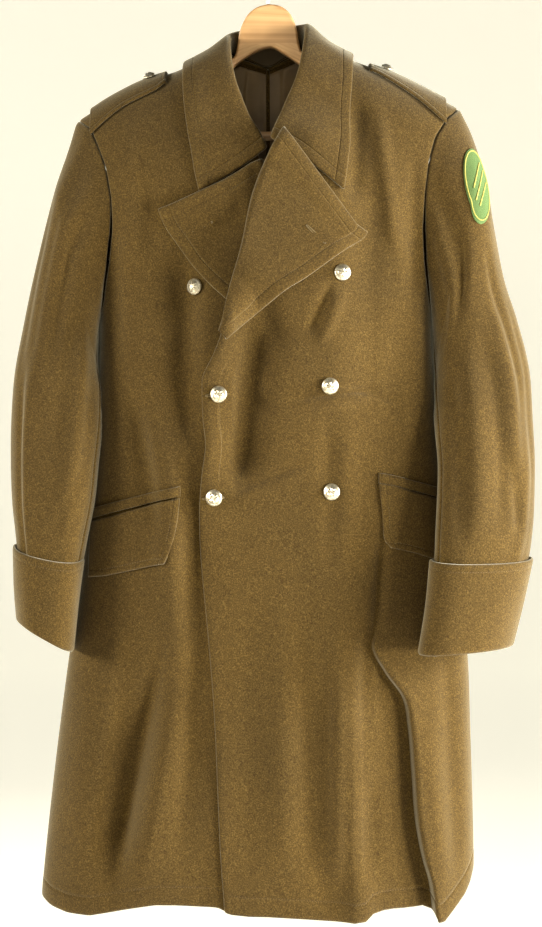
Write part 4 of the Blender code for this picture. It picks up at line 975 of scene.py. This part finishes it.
upper_cloth = cloth_samples([grid[:upper_rows] for grid in (right_front, left_front, *backs.values())])
stations = []
for row in COLLAR:
    entry = dict(zip(COLLAR_COLUMNS, row))
    if entry["where"] == "back":
        x = entry["neckline"]
        side = np.sign(x) if x else 1
        drop = BACK_NECK_DROP + (shoulder_drop(side * NECK_POINT) - BACK_NECK_DROP) * abs(x) / NECK_POINT
        neck = section(side * (180 - abs(angle_of(x, drop))), drop)
    else:
        side = 1 if entry["where"] == "left" else -1
        drop = float(entry["neckline"])
        edge = LEFT_FRONT_EDGE if side > 0 else RIGHT_FRONT_EDGE
        neck = outer_cloth(side, np.array(edge_x(edge, drop)), np.array(drop))
    inward = np.array([-neck[0], -6 - neck[1], 0.0])
    neck = neck + inward / np.linalg.norm(inward) * 4.0
    if entry["where"] == "back" or drop < 150:
        neck[2] += 2.0
    roll = np.array([entry["roll_x"], neck[1] + entry["roll_lean"], -entry["roll_drop"]])
    edge = np.array([entry["edge_x"], entry["edge_y"], -entry["edge_drop"]], float)
    edge = lay(edge, entry["out"], upper_cloth)
    bend = np.array([entry["bend_x"], (roll[1] + edge[1]) / 2, -entry["bend_drop"]])
    if entry["where"] != "back" and drop > 170:
        bend = lay(bend, entry["out"] + 0.6, upper_cloth)
    rise = roll - (neck * 0.5 + bend * 0.5)
    rise /= np.linalg.norm(rise)
    apart = bend - neck - rise * np.dot(bend - neck, rise)
    apart /= np.linalg.norm(apart)
    before = roll - apart * ROLL_RADIUS - rise * ROLL_RADIUS * 0.8
    after = roll + apart * ROLL_RADIUS - rise * ROLL_RADIUS * 0.8
    stations.append(curve_through([neck, before, roll, after, bend, edge], (6, 5, 5, 8, 12)))
collar = evened(curve_through(np.array(stations), [7] * (len(stations) - 1)), 62)
collar_facing = np.cross(np.gradient(collar, axis=0), np.gradient(collar, axis=1))
collar_facing /= np.linalg.norm(collar_facing, axis=-1, keepdims=True)
# the face that shows is the one that looks up and out on the leaf
if np.sum(collar_facing[:, 45:, 1][40:60]) < 0:
    collar_facing = -collar_facing
across, along = np.meshgrid(np.arange(62) * 2.0, np.arange(len(collar)) * 3.4)
collar = collar + collar_facing * (HALF_WALL / 2 + ripple(across, along + 300, 0.9))[..., None]
points = turned(collar, collar_facing, [("right", DOUBLED_EDGE), ("top", DOUBLED_EDGE), ("bottom", DOUBLED_EDGE)])
piece = sew("collar_cloth", points, HALF_WALL, wool, "collar")
stitched.append((points, "right", DOUBLED_EDGE, "round"))

# Lapels
# The top of each front folds back along a soft roll and shows its facing. The left lapel lies over
# the right one and over the end of the collar.

ROLL_PROFILE = ((2.9, -0.5), (2.1, 3.6), (4.0, 8.0), (9.5, 9.2), (18.0, 7.6))
LAPEL_ROWS = {
    # drop on the roll line, x and drop of the outer edge, and how far the row bows down
    "left": ((246, 130, 382, 14), (262, 123, 391, 9), (286, 100, 406, 4), (320, 76, 423, 0), (358, 50, 442, 0),
             (396, 24, 458, 0), (430, 0, 477, 0), (460, -20, 494, 0), (488, -38, 510, 0), (512, -53, 524, 0)),
    "right": ((286, -143, 352, -5), (306, -134, 374, 0), (334, -116, 400, 0), (364, -96, 427, 0), (396, -70, 455, 0),
              (430, -38, 482, 0), (462, -8, 504, 0), (490, 18, 520, 0), (514, 40, 534, 0)),
}
LAPEL_OUT = {"left": 6.4, "right": 5.4}
# The roll's width and how far out it ends, and the least length of a row that has a whole roll
ROLL_WIDE, ROLL_END, WHOLE_ROLL = 18, 7.6, 26
BEHIND = np.array([0, 30, 0])
ROLL_BAND = 15.0
LAPEL_CREASES = [
    ("left", 62, 268, 40, 372, 9, -2.0), ("left", 20, 330, 92, 378, 7, 1.8), ("left", 10, 380, 60, 404, 6, -1.6),
    ("left", 96, 330, 118, 372, 7, 1.4), ("right", -96, 330, -62, 420, 9, -2.2),
    ("right", -120, 350, -84, 384, 7, 1.8), ("right", -66, 300, -52, 380, 9, 1.8),
    ("right", -40, 330, -36, 440, 8, -2.0),
]


def lift(side, x, drop):
    """How much further out a lapel stands where it lies over the collar or the other lapel."""
    if side == "left":
        crease = np.interp(drop, (335, 400, 495), (-8, -12, -17))
        band = ROLL_BAND * smooth(330, 420, drop) * np.clip((crease - x) / 30, 0, 1)
        return 15.0 * (1 - smooth(264, 296, drop)) * (1 - smooth(34, 66, x)) + band
    return 4.6 * (1 - smooth(330, 372, drop)) * (1 - smooth(-30, -8, x))


lapels = {}
for side, sign, edge in (("left", 1, LEFT_FRONT_EDGE), ("right", -1, RIGHT_FRONT_EDGE)):
    given = curve_through(LAPEL_ROWS[side], [9] * (len(LAPEL_ROWS[side]) - 1))
    profile = curve_through(ROLL_PROFILE, (4, 4, 4, 5))
    grid = []
    for drop, outer_x, outer_drop, bow in given:
        start, end = np.array([float(table(edge, "drop", "x", drop)), drop]), np.array([outer_x, outer_drop])
        length = np.linalg.norm(end - start)
        along = (end - start) / length
        turn = min(1, length / WHOLE_ROLL)
        share = np.linspace(0, 1, 44)[1:]
        across = np.concatenate([profile[:, 0] * turn, ROLL_WIDE * turn + (length - ROLL_WIDE * turn) * share])
        out = np.concatenate([profile[:, 1] * turn + 1 - turn, ROLL_END + (LAPEL_OUT[side] - ROLL_END) * share])
        bowed = np.concatenate([np.zeros(len(profile)), bow * 4 * share * (1 - share)])
        x = start[0] + along[0] * across - along[1] * bowed
        drops = start[1] + along[1] * across + along[0] * bowed
        row = outer_cloth(sign, x, drops)
        row[:, 1] -= out + lift(side, x, drops)
        grid.append(row)
    lapel = evened(np.array(grid), 66)
    outward = facing(lapel, lapel + BEHIND)
    lapel = lapel + outward * (HALF_WALL / 2 + ripple(lapel[..., 0] + 70, -lapel[..., 2], 0.9)
                               + crease_rise(LAPEL_CREASES, side, lapel[..., 0], -lapel[..., 2]))[..., None]
    points = turned(lapel, outward, [("right", DOUBLED_EDGE), ("top", DOUBLED_EDGE)])
    piece = sew("lapel_" + side + "_cloth", points, HALF_WALL, wool, "lapel_" + side)
    stitched += [(points, "right", DOUBLED_EDGE, (0, -1, 0)), (points, "top", DOUBLED_EDGE, (0, -1, 0))]
    lapels[side] = points

# Pocket flaps and welts
# A slanting flap of doubled wool over each side pocket, stitched round its free edges, with a
# narrow welt sewn down above it.

FLAP_OUT, FLAP_WALL = 4.9, 1.7
WELT_OUT, WELT_WALL, WELT_DEEP = 4.5, 1.5, 12.6
FLAPS = {
    "right": {"top": ((-116, 728), (-160, 740), (-199, 751), (-220, 757), (-229, 760)),
              "bottom": ((-130, 809), (-160, 817), (-206, 828), (-225, 831), (-232, 832)),
              "front": ((-116, 728), (-120, 765), (-126, 792), (-133, 812)),
              "welt": ((-115, 713), (-160, 724), (-199, 734), (-220, 740), (-229, 743))},
    "left": {"top": ((144, 709), (163, 712), (181, 718), (207, 726), (224, 731)),
             "bottom": ((160, 790), (172, 794), (190, 799), (211, 806), (227, 809)),
             "front": ((144, 709), (148, 746), (151, 778), (160, 792)),
             "welt": ((144, 696), (163, 699), (181, 704), (207, 711), (224, 716))},
}
FLAP_EDGE = ((10.4, 0), (9.2, 0.1), (8.4, 0.7), (7.6, 0.1), (6, 0), (2.6, 0.05), (1.0, 0.4), (0.2, 1.0), (0.4, 1.7),
             (2, 1.9), (12, 1.9))
WELT_EDGE = ((3.6, 0), (2.8, 0.1), (2.2, 0.5), (1.6, 0.0), (0.7, 0.3), (0.2, 1.0), (0.2, 2.0))

lower_cloth = cloth_samples([grid[upper_rows - 4:upper_rows + 92] for grid in (right_front, left_front)])
for side, flap in FLAPS.items():
    top, bottom, front, above = (curve_through(line, [12] * (len(line) - 1)) for line in flap.values())
    rows = []
    for share in np.linspace(0, 1, 30):
        row = top * (1 - share) + bottom * share
        corner = front[int(round(share * (len(front) - 1)))]
        rows.append(row + (corner - row[0]) * np.linspace(1, 0, len(row))[:, None] ** 3)
    grid = np.array(rows)
    points = lay(section(angle_of(grid[..., 0], grid[..., 1]), grid[..., 1]), FLAP_OUT + 0.5, lower_cloth)
    outward = facing(points, points + BEHIND)
    points = turned(points, outward, [("left", FLAP_EDGE), ("bottom", FLAP_EDGE)])
    piece = sew("pocket_flap_" + side + "_cloth", points, FLAP_WALL, wool, "pocket_flap_" + side)
    stitched += [(points, "left", FLAP_EDGE, (0, -1, 0)), (points, "bottom", FLAP_EDGE, (0, -1, 0))]

    grid = np.array([above + np.array([0, WELT_DEEP]) * share for share in np.linspace(0, 1, 8)])
    points = lay(section(angle_of(grid[..., 0], grid[..., 1]), grid[..., 1]), WELT_OUT, lower_cloth)
    outward = facing(points, points + BEHIND)
    points = turned(points, outward, [("top", WELT_EDGE), ("left", WELT_EDGE)])
    piece = sew("pocket_welt_" + side + "_cloth", points, WELT_WALL, wool, "pocket_welt_" + side)

# Shoulder straps
# A strap of doubled wool is sewn into the top of each armhole, lies along the shoulder seam, and
# buttons near the collar. It has a stitching groove round its edge.

STRAP_OUT, STRAP_WALL, STRAP_HALF = 4.8, 1.8, 16.0
STRAPS = {
    "right": ((-232, 251), (-214, 234), (-191, 216), (-166, 203), (-146, 193), (-134, 183)),
    "left": ((233, 236), (217, 222), (194, 203), (166, 184), (146, 172), (134, 166)),
}
STRAP_EDGE = ((7.4, 0), (6.4, 0.1), (5.6, 0.6), (4.8, 0.1), (3.6, 0), (1.6, 0.15), (0.5, 0.6), (0.2, 1.2), (0.6, 1.7),
              (3, 1.8))

strap_buttons = {}
for side, sign in (("right", -1), ("left", 1)):
    lower = curve_through(STRAPS[side], (2, 2, 2, 2, 1))
    rows = []
    for index, (x, drop) in enumerate(lower):
        taper = 1 - 0.45 * smooth(len(lower) - 3, len(lower) - 1, index)
        ridge_x = x - sign * 1.0
        ridge_drop = float(shoulder_drop(ridge_x))
        middle_drop = ridge_drop * 0.6 + drop * 0.4
        row = [[ridge_x, STRAP_HALF * taper, -ridge_drop - 1], [ridge_x, 0.0, -ridge_drop],
               section(angle_of(x, middle_drop), middle_drop), section(angle_of(x, drop), drop)]
        rows.append(curve_through(row, (1, 2, 2)))
    coarse = lay(np.array(rows), STRAP_OUT, upper_cloth)
    middle = coarse[-3, 2]
    normal = np.cross(coarse[-2, 2] - coarse[-4, 2], coarse[-3, 3] - coarse[-3, 1])
    strap_buttons[side] = (middle, normal / np.linalg.norm(normal) * np.sign(normal[2]))
    fine = curve_through(coarse, [7] * (len(coarse) - 1))
    strap = evened(curve_through(fine.transpose(1, 0, 2), [5] * 5).transpose(1, 0, 2), 26)
    outward = facing(strap, strap + np.array([0, 0, -60]))
    strap = strap + outward * 0.5
    points = turned(strap, outward, [("left", STRAP_EDGE), ("right", STRAP_EDGE), ("bottom", STRAP_EDGE)])
    piece = sew("shoulder_strap_" + side + "_cloth", points, STRAP_WALL, wool, "shoulder_strap_" + side)

# Buttons
# Domed silver-gilt buttons, pressed from sheet metal with a roped rim and a raised rosette, each on
# a shank sewn through the cloth. Six close the front and a smaller one holds each shoulder strap.

gilt, shader, add, link, tarnish = patterned(
    "silver_gilt", "Noise", ((0.30, (0.30, 0.24, 0.14)), (0.62, (0.88, 0.82, 0.66))), 0.36,
    in_Scale=240.0, in_Detail=4.0, in_Roughness=0.6)
tune(shader, Metallic=1.0)
link(varied(add, link, tarnish, 0.46, 0.26), shader.inputs["Roughness"])

# Reach and height of a button's section, as shares of its radius, and the depth of its shank
BUTTON_PROFILE = ((0, 0.47), (0.10, 0.467), (0.20, 0.455), (0.30, 0.437), (0.40, 0.412), (0.50, 0.378),
                  (0.60, 0.335), (0.68, 0.290), (0.74, 0.245), (0.79, 0.200), (0.84, 0.160), (0.89, 0.125),
                  (0.94, 0.070), (0.975, 0.010), (0.97, -0.06), (0.93, -0.11), (0.70, -0.13), (0.36, -0.12),
                  (0.30, -0.20), (0, -0.20))
SHANK = 0.20


def button_relief(reach, turn):
    """Height of the pressed pattern: a rosette of eight petals, a plain band and a roped rim."""
    petals = 0.5 + 0.5 * math.cos(8 * turn)
    rosette = 0.075 * petals * float(smooth(0.10, 0.24, reach) * (1 - smooth(0.44, 0.58, reach)))
    boss = 0.05 * float(1 - smooth(0.07, 0.13, reach))
    groove = -0.045 * float(smooth(0.60, 0.66, reach) * (1 - smooth(0.70, 0.76, reach)))
    rim = float(smooth(0.76, 0.82, reach) * (1 - smooth(0.90, 0.96, reach)))
    rope = 0.035 * (0.5 + 0.5 * math.sin(32 * turn)) * rim
    return rosette + boss + groove + rope


def button(name, diameter, point, normal):
    """One button, its dome turned from a profile and its pattern raised on it."""
    turned_metal = spun(BUTTON_PROFILE, 1e-5)
    for vert in turned_metal.verts:
        reach = math.hypot(vert.co.x, vert.co.y)
        if vert.co.z > 0.02:
            vert.co.z += button_relief(reach, math.atan2(vert.co.y, vert.co.x))
    bmesh.ops.recalc_face_normals(turned_metal, faces=turned_metal.faces)
    radius = diameter / 2 * MM
    seat = Vector((np.asarray(point) + np.asarray(normal) * SHANK * diameter / 2) * MM)
    turn = Vector(normal).to_track_quat("Z", "Y").to_matrix().to_4x4()
    bmesh.ops.transform(turned_metal, matrix=Matrix.Translation(seat) @ turn @ Matrix.Scale(radius, 4),
                        verts=turned_metal.verts)
    placed(finished(name + "_metal", turned_metal, gilt), name)


def normal_at(angle, drop):
    """The outward normal of the body's cloth."""
    by_angle = section(angle + 1.2, drop) - section(angle - 1.2, drop)
    by_drop = section(angle, drop + 4) - section(angle, drop - 4)
    n = -np.cross(by_angle, by_drop)
    return n / np.linalg.norm(n, axis=-1, keepdims=True)


FRONT_BUTTONS = {
    "button_right_top": (-94.0, 453.0), "button_right_middle": (-63.0, 594.0), "button_right_low": (-69.0, 727.0),
    "button_left_top": (96.0, 436.0), "button_left_middle": (80.0, 583.0), "button_left_low": (83.0, 720.0),
}
BUTTON_SIZE, STRAP_BUTTON_SIZE, BUTTON_FOOT, STRAP_BUTTON_FOOT = 22.5, 17.0, 1.6, 1.85
for name, (x, drop) in FRONT_BUTTONS.items():
    angle = angle_of(x, drop)
    point, normal = section(angle, drop), normal_at(angle, drop)
    if name != "button_right_top":
        point[1] -= overlap_out(x, drop)
    button(name, BUTTON_SIZE, point + normal * BUTTON_FOOT, normal)
for side, (point, normal) in strap_buttons.items():
    button("strap_button_" + side, STRAP_BUTTON_SIZE, point + normal * STRAP_BUTTON_FOOT, normal)

# Sleeve badge
# A small upright oval badge of green felt on the left sleeve, with a yellow stitched border and
# three yellow bars. It is sewn on flat.

badge_green = patterned("badge_felt", "Wave", ((0, (0.055, 0.110, 0.026)), (1, (0.120, 0.200, 0.050))), 0.85,
                        (0.5, 0.0004), bands_direction="DIAGONAL", in_Scale=520.0, in_Distortion=1.5, in_Detail=1.0)[0]
badge_yellow = patterned("badge_thread", "Wave", ((0, (0.36, 0.31, 0.05)), (1, (0.66, 0.60, 0.14))), 0.7,
                         (0.6, 0.0004), in_Scale=700.0, in_Distortion=2.0, in_Detail=1.0)[0]

# Middle and half size of the badge, as a level down the sleeve and a turn round it
BADGE_LEVEL, BADGE_TURN, BADGE_OUT, BADGE_WALL = (3.35, 1.1), (38.0, 25.0), 2.1, 1.2
rings, turns, levels = sleeves["left"]
sleeve_out = ring_facing(rings)


def on_sleeve(level, turn, out):
    """A point that stands out from the left sleeve's cloth."""
    r, c = np.interp(level, levels, np.arange(len(levels))), np.interp(turn, turns, np.arange(len(turns)))
    low_r, low_c = int(min(r, len(levels) - 2)), int(min(c, len(turns) - 2))
    a, b = r - low_r, c - low_c
    parts = [(low_r, low_c, (1 - a) * (1 - b)), (low_r + 1, low_c, a * (1 - b)), (low_r, low_c + 1, (1 - a) * b),
             (low_r + 1, low_c + 1, a * b)]
    point = sum(rings[i, j] * weight for i, j, weight in parts)
    normal = sum(sleeve_out[i, j] * weight for i, j, weight in parts)
    return point + normal / np.linalg.norm(normal) * out


def on_badge(across, up, out):
    """A point over the badge, at shares of its half width and half height."""
    return on_sleeve(BADGE_LEVEL[0] + BADGE_LEVEL[1] * up, BADGE_TURN[0] + BADGE_TURN[1] * across, out)


badge_points = np.array([[on_badge(u * math.sqrt(1 - v * v / 2), v * math.sqrt(1 - u * u / 2), BADGE_OUT)
                          for u in np.linspace(-1, 1, 31)] for v in np.linspace(-1, 1, 41)])
badge = sew("sleeve_badge", badge_points, BADGE_WALL, badge_green, "sleeve_patch", round_edges=0.4)


def line_of(name, path, **settings):
    """Curve data that runs straight from point to point, with some settings."""
    curve = bpy.data.curves.new(name, "CURVE")
    for key, value in settings.items():
        setattr(curve, key, value)
    spline = curve.splines.new("POLY")
    spline.points.add(len(path) - 1)
    for point, place in zip(spline.points, path):
        point.co = (*(np.asarray(place) * MM), 1)
    return curve


def round_line(name, path, width, finish, resolution=2):
    """A round line along a path of points: close stitching, or bent wire."""
    curve = line_of(name, path, dimensions="3D", bevel_depth=width / 2 * MM, bevel_resolution=resolution,
                    use_fill_caps=True)
    curve.materials.append(finish)
    return placed(in_scene(name, curve))


def badge_line(name, heights, reaches, out, width):
    """Yellow stitching on the badge, through places given as shares of its half height and width."""
    path = [on_badge(reach, height, out) for height, reach in zip(heights, reaches)]
    return round_line(name, path, width, badge_yellow)


around = np.linspace(0, math.tau, 73)
badge_lines = [badge_line("badge_border", 0.93 * np.sin(around), 0.90 * np.cos(around), 2.9, 1.5)]
for index, (height, reach) in enumerate(((-0.34, 0.50), (0.0, 0.62), (0.34, 0.50))):
    badge_lines.append(badge_line(f"badge_bar_{index + 1}", [height] * 13, np.linspace(-reach, reach, 13), 2.8, 1.9))

# Lining and neck tape
# Brown satin lines the back of the neck, with a box pleat each side of the centre seam. A ribbed
# tape is sewn round the inside of the neckline over the lining's top edge.

satin, shader, add, link, _ = patterned(
    "lining_satin", "Noise", ((0.25, (0.150, 0.092, 0.036)), (0.75, (0.280, 0.185, 0.080))), 0.42,
    in_Scale=22.0, in_Detail=3.0)
twill = add("TexWave", bands_direction="DIAGONAL", in_Scale=900.0, in_Distortion=0.6, in_Detail=1.0)
link(add("TexCoord").outputs["Object"], twill.inputs["Vector"])
press(shader, add, link, twill.outputs["Fac"], 0.25, 0.0003)
tune(shader, Sheen_Weight=0.4)

LINING_DROP, LINING_IN, LINING_WALL = 420, -3.6, 0.6
PLEAT_LINES = ((-30, 3.2), (-8, 1.4), (19.5, 3.2))
grid = []
for share in np.linspace(0, 1, 60):
    x = np.linspace(-150, 150, 121)
    side = np.where(x >= 0, 1, -1)
    neck = BACK_NECK_DROP + (shoulder_drop(side * NECK_POINT) - BACK_NECK_DROP) * np.abs(x) / NECK_POINT
    top = np.maximum(np.where(np.abs(x) < NECK_POINT, neck + 8, 0), shoulder_drop(x) + 22)
    drop = top + (LINING_DROP - top) * share
    angle = side * (180 - np.abs(angle_of(x + 0.01 * (x == 0), drop)))
    out = LINING_IN + ripple(x * 1.6 + 77, drop, 1.2)
    for line, depth in PLEAT_LINES:
        beyond = x - line - 2 * np.sin(drop / 60)
        out = out - depth * smooth(-1.2, 0, beyond) * np.exp(-np.maximum(beyond, 0) / 9)
    row = section(angle, drop) + normal_at(angle, drop) * out[:, None]
    grid.append(row)
lining_points = np.array(grid)
piece = sew("lining_cloth", lining_points, LINING_WALL, satin, "lining_back")

tape_cloth = patterned("neck_tape", "Wave", ((0, (0.045, 0.032, 0.015)), (1, (0.125, 0.092, 0.045))), 0.75,
                       (0.7, 0.0006), in_Scale=300.0, in_Distortion=0.3, in_Detail=1.0)[0]

TAPE_IN, TAPE_WALL = 3.8, 0.9
# the tape covers the stand's lower half across the back of the neck
stand = np.array(stations)[8:13]
tape = np.stack([stand[:, 0] + (stand[:, 6] - stand[:, 0]) * share for share in np.linspace(0, 0.5, 5)], 1)
tape = curve_through(tape, [14] * 4)
inward = np.array([0, 4, 0]) - tape
inward[..., 2] = 0
tape = tape + inward / np.linalg.norm(inward, axis=-1, keepdims=True) * TAPE_IN
piece = sew("neck_tape_cloth", tape, TAPE_WALL, tape_cloth, "neck_tape", round_edges=0.25)

# Sewing
# Rows of waxed thread in the grooves of the turned edges, and the buttonholes, each a slot with a
# thick worked edge: one at the point of each lapel, one at the break and two at the coat's front edge.

thread = patterned("waxed_thread", "Noise", ((0, (0.060, 0.038, 0.010)), (1, (0.190, 0.135, 0.050))), 0.6,
                   in_Scale=900.0, in_Detail=2.0)[0]

STITCH_STEP, STITCH_LONG, STITCH_WIDE = 3.6, 1.25, 0.42
sewing = bmesh.new()
for points, side, profile, faces in stitched:
    groove = max((sunk, k) for k, (inset, sunk) in enumerate(profile[:5]))[1]
    row = {"right": np.s_[8:-16, groove - len(profile)], "left": np.s_[8:-16, len(profile) - 1 - groove],
           "top": np.s_[len(profile) - 1 - groove, 8:-16], "bottom": np.s_[groove - len(profile), 8:-16]}[side]
    path = points[row]
    if faces == "round":
        middle = points.mean(axis=(0, 1))
        faces = (path - middle) * np.array([1, 1, 0.2])
    normal = np.cross(np.gradient(points, axis=0), np.gradient(points, axis=1))[row]
    normal *= np.where(np.sum(normal * faces, -1) < 0, -1, 1)[:, None]
    lengths = distances(path)
    for at in np.arange(2, lengths[-1] - 2, STITCH_STEP):
        here, ahead, up = (np.array([np.interp(at + more, lengths, of[:, k]) for k in range(3)])
                           for more, of in ((0, path), (1, path), (0, normal)))
        up /= np.linalg.norm(up)
        turn = (Vector(ahead - here).to_track_quat("X", "Z")).to_matrix().to_4x4()
        size = Matrix.Diagonal((STITCH_LONG * MM, STITCH_WIDE * MM, STITCH_WIDE * MM, 1))
        bmesh.ops.create_icosphere(sewing, subdivisions=1, radius=1,
                                   matrix=Matrix.Translation((here + up * (WALL / 2 - 0.15)) * MM) @ turn @ size)
placed(finished("edge_stitching", sewing, thread))

# x and drop of both ends of each buttonhole, and the cloth that it is worked in
left_cloth = left_front + left_front_facing * (WALL / 2)
BUTTONHOLES = {
    "buttonhole_lapel_left": (lapels["left"], (50, 376), (74, 399)),
    "buttonhole_lapel_right": (lapels["right"], (-98, 382), (-72, 370)),
    "buttonhole_break": (left_cloth, (-52, 476), (-44, 486)),
    "buttonhole_middle": (left_cloth, (-80, 596), (-52, 594)),
    "buttonhole_low": (left_cloth, (-84, 729), (-57, 727)),
}
HOLE_WIDE, WORKED_EDGE = 2.6, 1.5
for name, (cloth, start, end) in BUTTONHOLES.items():
    start, end = np.array(start, float), np.array(end, float)
    along = (end - start) / np.linalg.norm(end - start)
    side_step = np.array([-along[1], along[0]])
    half = np.linalg.norm(end - start) / 2
    cloth = cloth.reshape(-1, 3)
    path = []
    for t in np.linspace(0, math.tau, 41):
        run = half * np.clip(math.cos(t) * 1.25, -1, 1)
        x, drop = (start + end) / 2 + along * run + side_step * HOLE_WIDE / 2 * math.sin(t)
        gap = (cloth[:, 0] - x) ** 2 + (cloth[:, 2] + drop) ** 2
        near = cloth[gap < max(gap.min() * 1.5, 16)]
        path.append((x, near[:, 1].min() - HALF_WALL / 2 - 0.2, -drop))
    round_line(name, path, WORKED_EDGE, thread)

# Hanger
# A shaped hanger of pale varnished wood: two arms jointed at the neck, a round trouser bar between
# their ends, and a bent steel hook screwed into the top. Its grain runs along each arm.

hanger_wood, shader, add, link = nodes_of("hanger_wood")
stretch = add("Mapping", in_Scale=(9.0, 210.0, 1.0))
grain = add("TexNoise", in_Scale=1.0, in_Detail=5.0, in_Roughness=0.6, in_Distortion=0.5)
link(add("UVMap", uv_map="grain").outputs["UV"], stretch.inputs["Vector"])
link(stretch.outputs["Vector"], grain.inputs["Vector"])
cloud = add("TexNoise", in_Scale=18.0, in_Detail=2.0)
link(add("TexCoord").outputs["Object"], cloud.inputs["Vector"])
colour = ramp(add, link, grain, (0.30, (0.36, 0.175, 0.062)), (0.5, (0.58, 0.335, 0.14)), (0.72, (0.70, 0.44, 0.21)))
link(scaled(add, link, colour, varied(add, link, cloud, 0.85, 1.12)), shader.inputs["Base Color"])
press(shader, add, link, grain.outputs["Fac"], 0.25, 0.0004)
tune(shader, Roughness=0.38, Coat_Weight=0.3, Coat_Roughness=0.25)

HANGER_HALF, HANGER_BEVEL, ARM_SLOPE = 9.0, 3.5, 25.0


def woodwork(name, wooden, slope, node):
    """Finishes a wooden piece, with its grain along a slope and crisp edges, in place of its solid."""
    bmesh.ops.remove_doubles(wooden, verts=wooden.verts, dist=1e-6)
    bmesh.ops.recalc_face_normals(wooden, faces=wooden.faces)
    layer = wooden.loops.layers.uv.new("grain")
    slope = math.radians(slope)
    for face in wooden.faces:
        for loop in face.loops:
            x, y, z = loop.vert.co
            reach = abs(x)
            loop[layer].uv = (reach * math.cos(slope) - z * math.sin(slope),
                              -reach * math.sin(slope) - z * math.cos(slope) + y * 0.7)
    piece = placed(finished(name, wooden, hanger_wood), node)
    crisp = piece.modifiers.new("crisp", "EDGE_SPLIT")
    crisp.split_angle = math.radians(50)


upper_line, lower_line = [], []
for sign in (-1, 1):
    neck = [(15, 75), (27, 83), (35, 96), (39, 110), (41, 124), (46, 137)]
    line = [(x, drop + (7 if sign < 0 else 0) * (x / 46)) for x, drop in neck]
    line += [(x, float(shoulder_drop(sign * x)) + seat)
             for x, seat in ((62, 8), (82, 4), (104, 3.6), (125, 3.6), (150, 3.6), (175, 3.6), (195, 3.8), (207, 5))]
    upper_line.append([(sign * x, drop) for x, drop in line])
    low = [(212, 240), (211, 255), (205, 262), (196, 261), (192, 254), (190, 236)]
    low += [(x, float(shoulder_drop(sign * x)) + 36) for x in (170, 140, 110, 80, 55)]
    low += [(42, 153), (20, 138)]
    lower_line.append([(sign * x, drop) for x, drop in low])
outline = [(0, 73)] + upper_line[1] + lower_line[1] + [(3, 130)] + lower_line[0][::-1] + upper_line[0][::-1]
outline = curve_through(outline + [outline[0]], [3] * len(outline))[:-1]
flat_wood = line_of("hanger_outline", [(x, -drop, 0) for x, drop in outline], dimensions="2D", fill_mode="BOTH",
                    extrude=(HANGER_HALF - HANGER_BEVEL) * MM, bevel_depth=HANGER_BEVEL * MM, bevel_resolution=4,
                    offset=-HANGER_BEVEL * MM)
flat_wood.splines[0].use_cyclic_u = True
pattern = in_scene("hanger_outline", flat_wood)
bpy.context.view_layer.update()
data = bpy.data.meshes.new_from_object(pattern.evaluated_get(bpy.context.evaluated_depsgraph_get()))
bpy.data.objects.remove(pattern)
data.transform(Matrix.Rotation(math.pi / 2, 4, "X"))
wooden = bmesh.new()
wooden.from_mesh(data)
bpy.data.meshes.remove(data)
woodwork("hanger_arms_wood", wooden, ARM_SLOPE, "hanger_arms")

BAR_RADIUS, BAR_HALF, BAR_DROP = 6, 190.3, 247.6
wooden = bmesh.new()
bmesh.ops.create_cone(wooden, cap_ends=True, segments=48, radius1=BAR_RADIUS * MM, radius2=BAR_RADIUS * MM,
                      depth=2 * BAR_HALF * MM)
bmesh.ops.rotate(wooden, verts=wooden.verts, cent=(0, 0, 0), matrix=Matrix.Rotation(math.pi / 2, 3, "Y"))
bmesh.ops.translate(wooden, verts=wooden.verts, vec=(0, 0, -BAR_DROP * MM))
woodwork("hanger_bar_wood", wooden, 0, "hanger_bar")

steel, shader = patterned("hook_steel", "Noise", ((0, (0.42, 0.42, 0.41)), (1, (0.78, 0.78, 0.76))), 0.28,
                          in_Scale=160.0, in_Detail=3.0)[:2]
tune(shader, Metallic=1.0)

# Wire's thickness and the radius inside the hook's bend
HOOK_WIRE, HOOK_INSIDE = 3.8, 17
radius = HOOK_INSIDE + HOOK_WIRE / 2
bent = [(radius * math.sin(bend), radius * math.cos(bend) - HOOK_INSIDE)
        for bend in np.radians(np.linspace(-118, 138, 49))]
straight = curve_through([bent[-1], (5.5, -38), (1.5, -43), (0, -49), (0, -60), (0, -72.6)], [5, 4, 4, 2, 2])
hook_path = [(x, 0, z) for x, z in [*bent, *straight[1:]]]
hook = round_line("hanger_hook_wire", hook_path, HOOK_WIRE, steel, resolution=6)
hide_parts("hanger_hook")
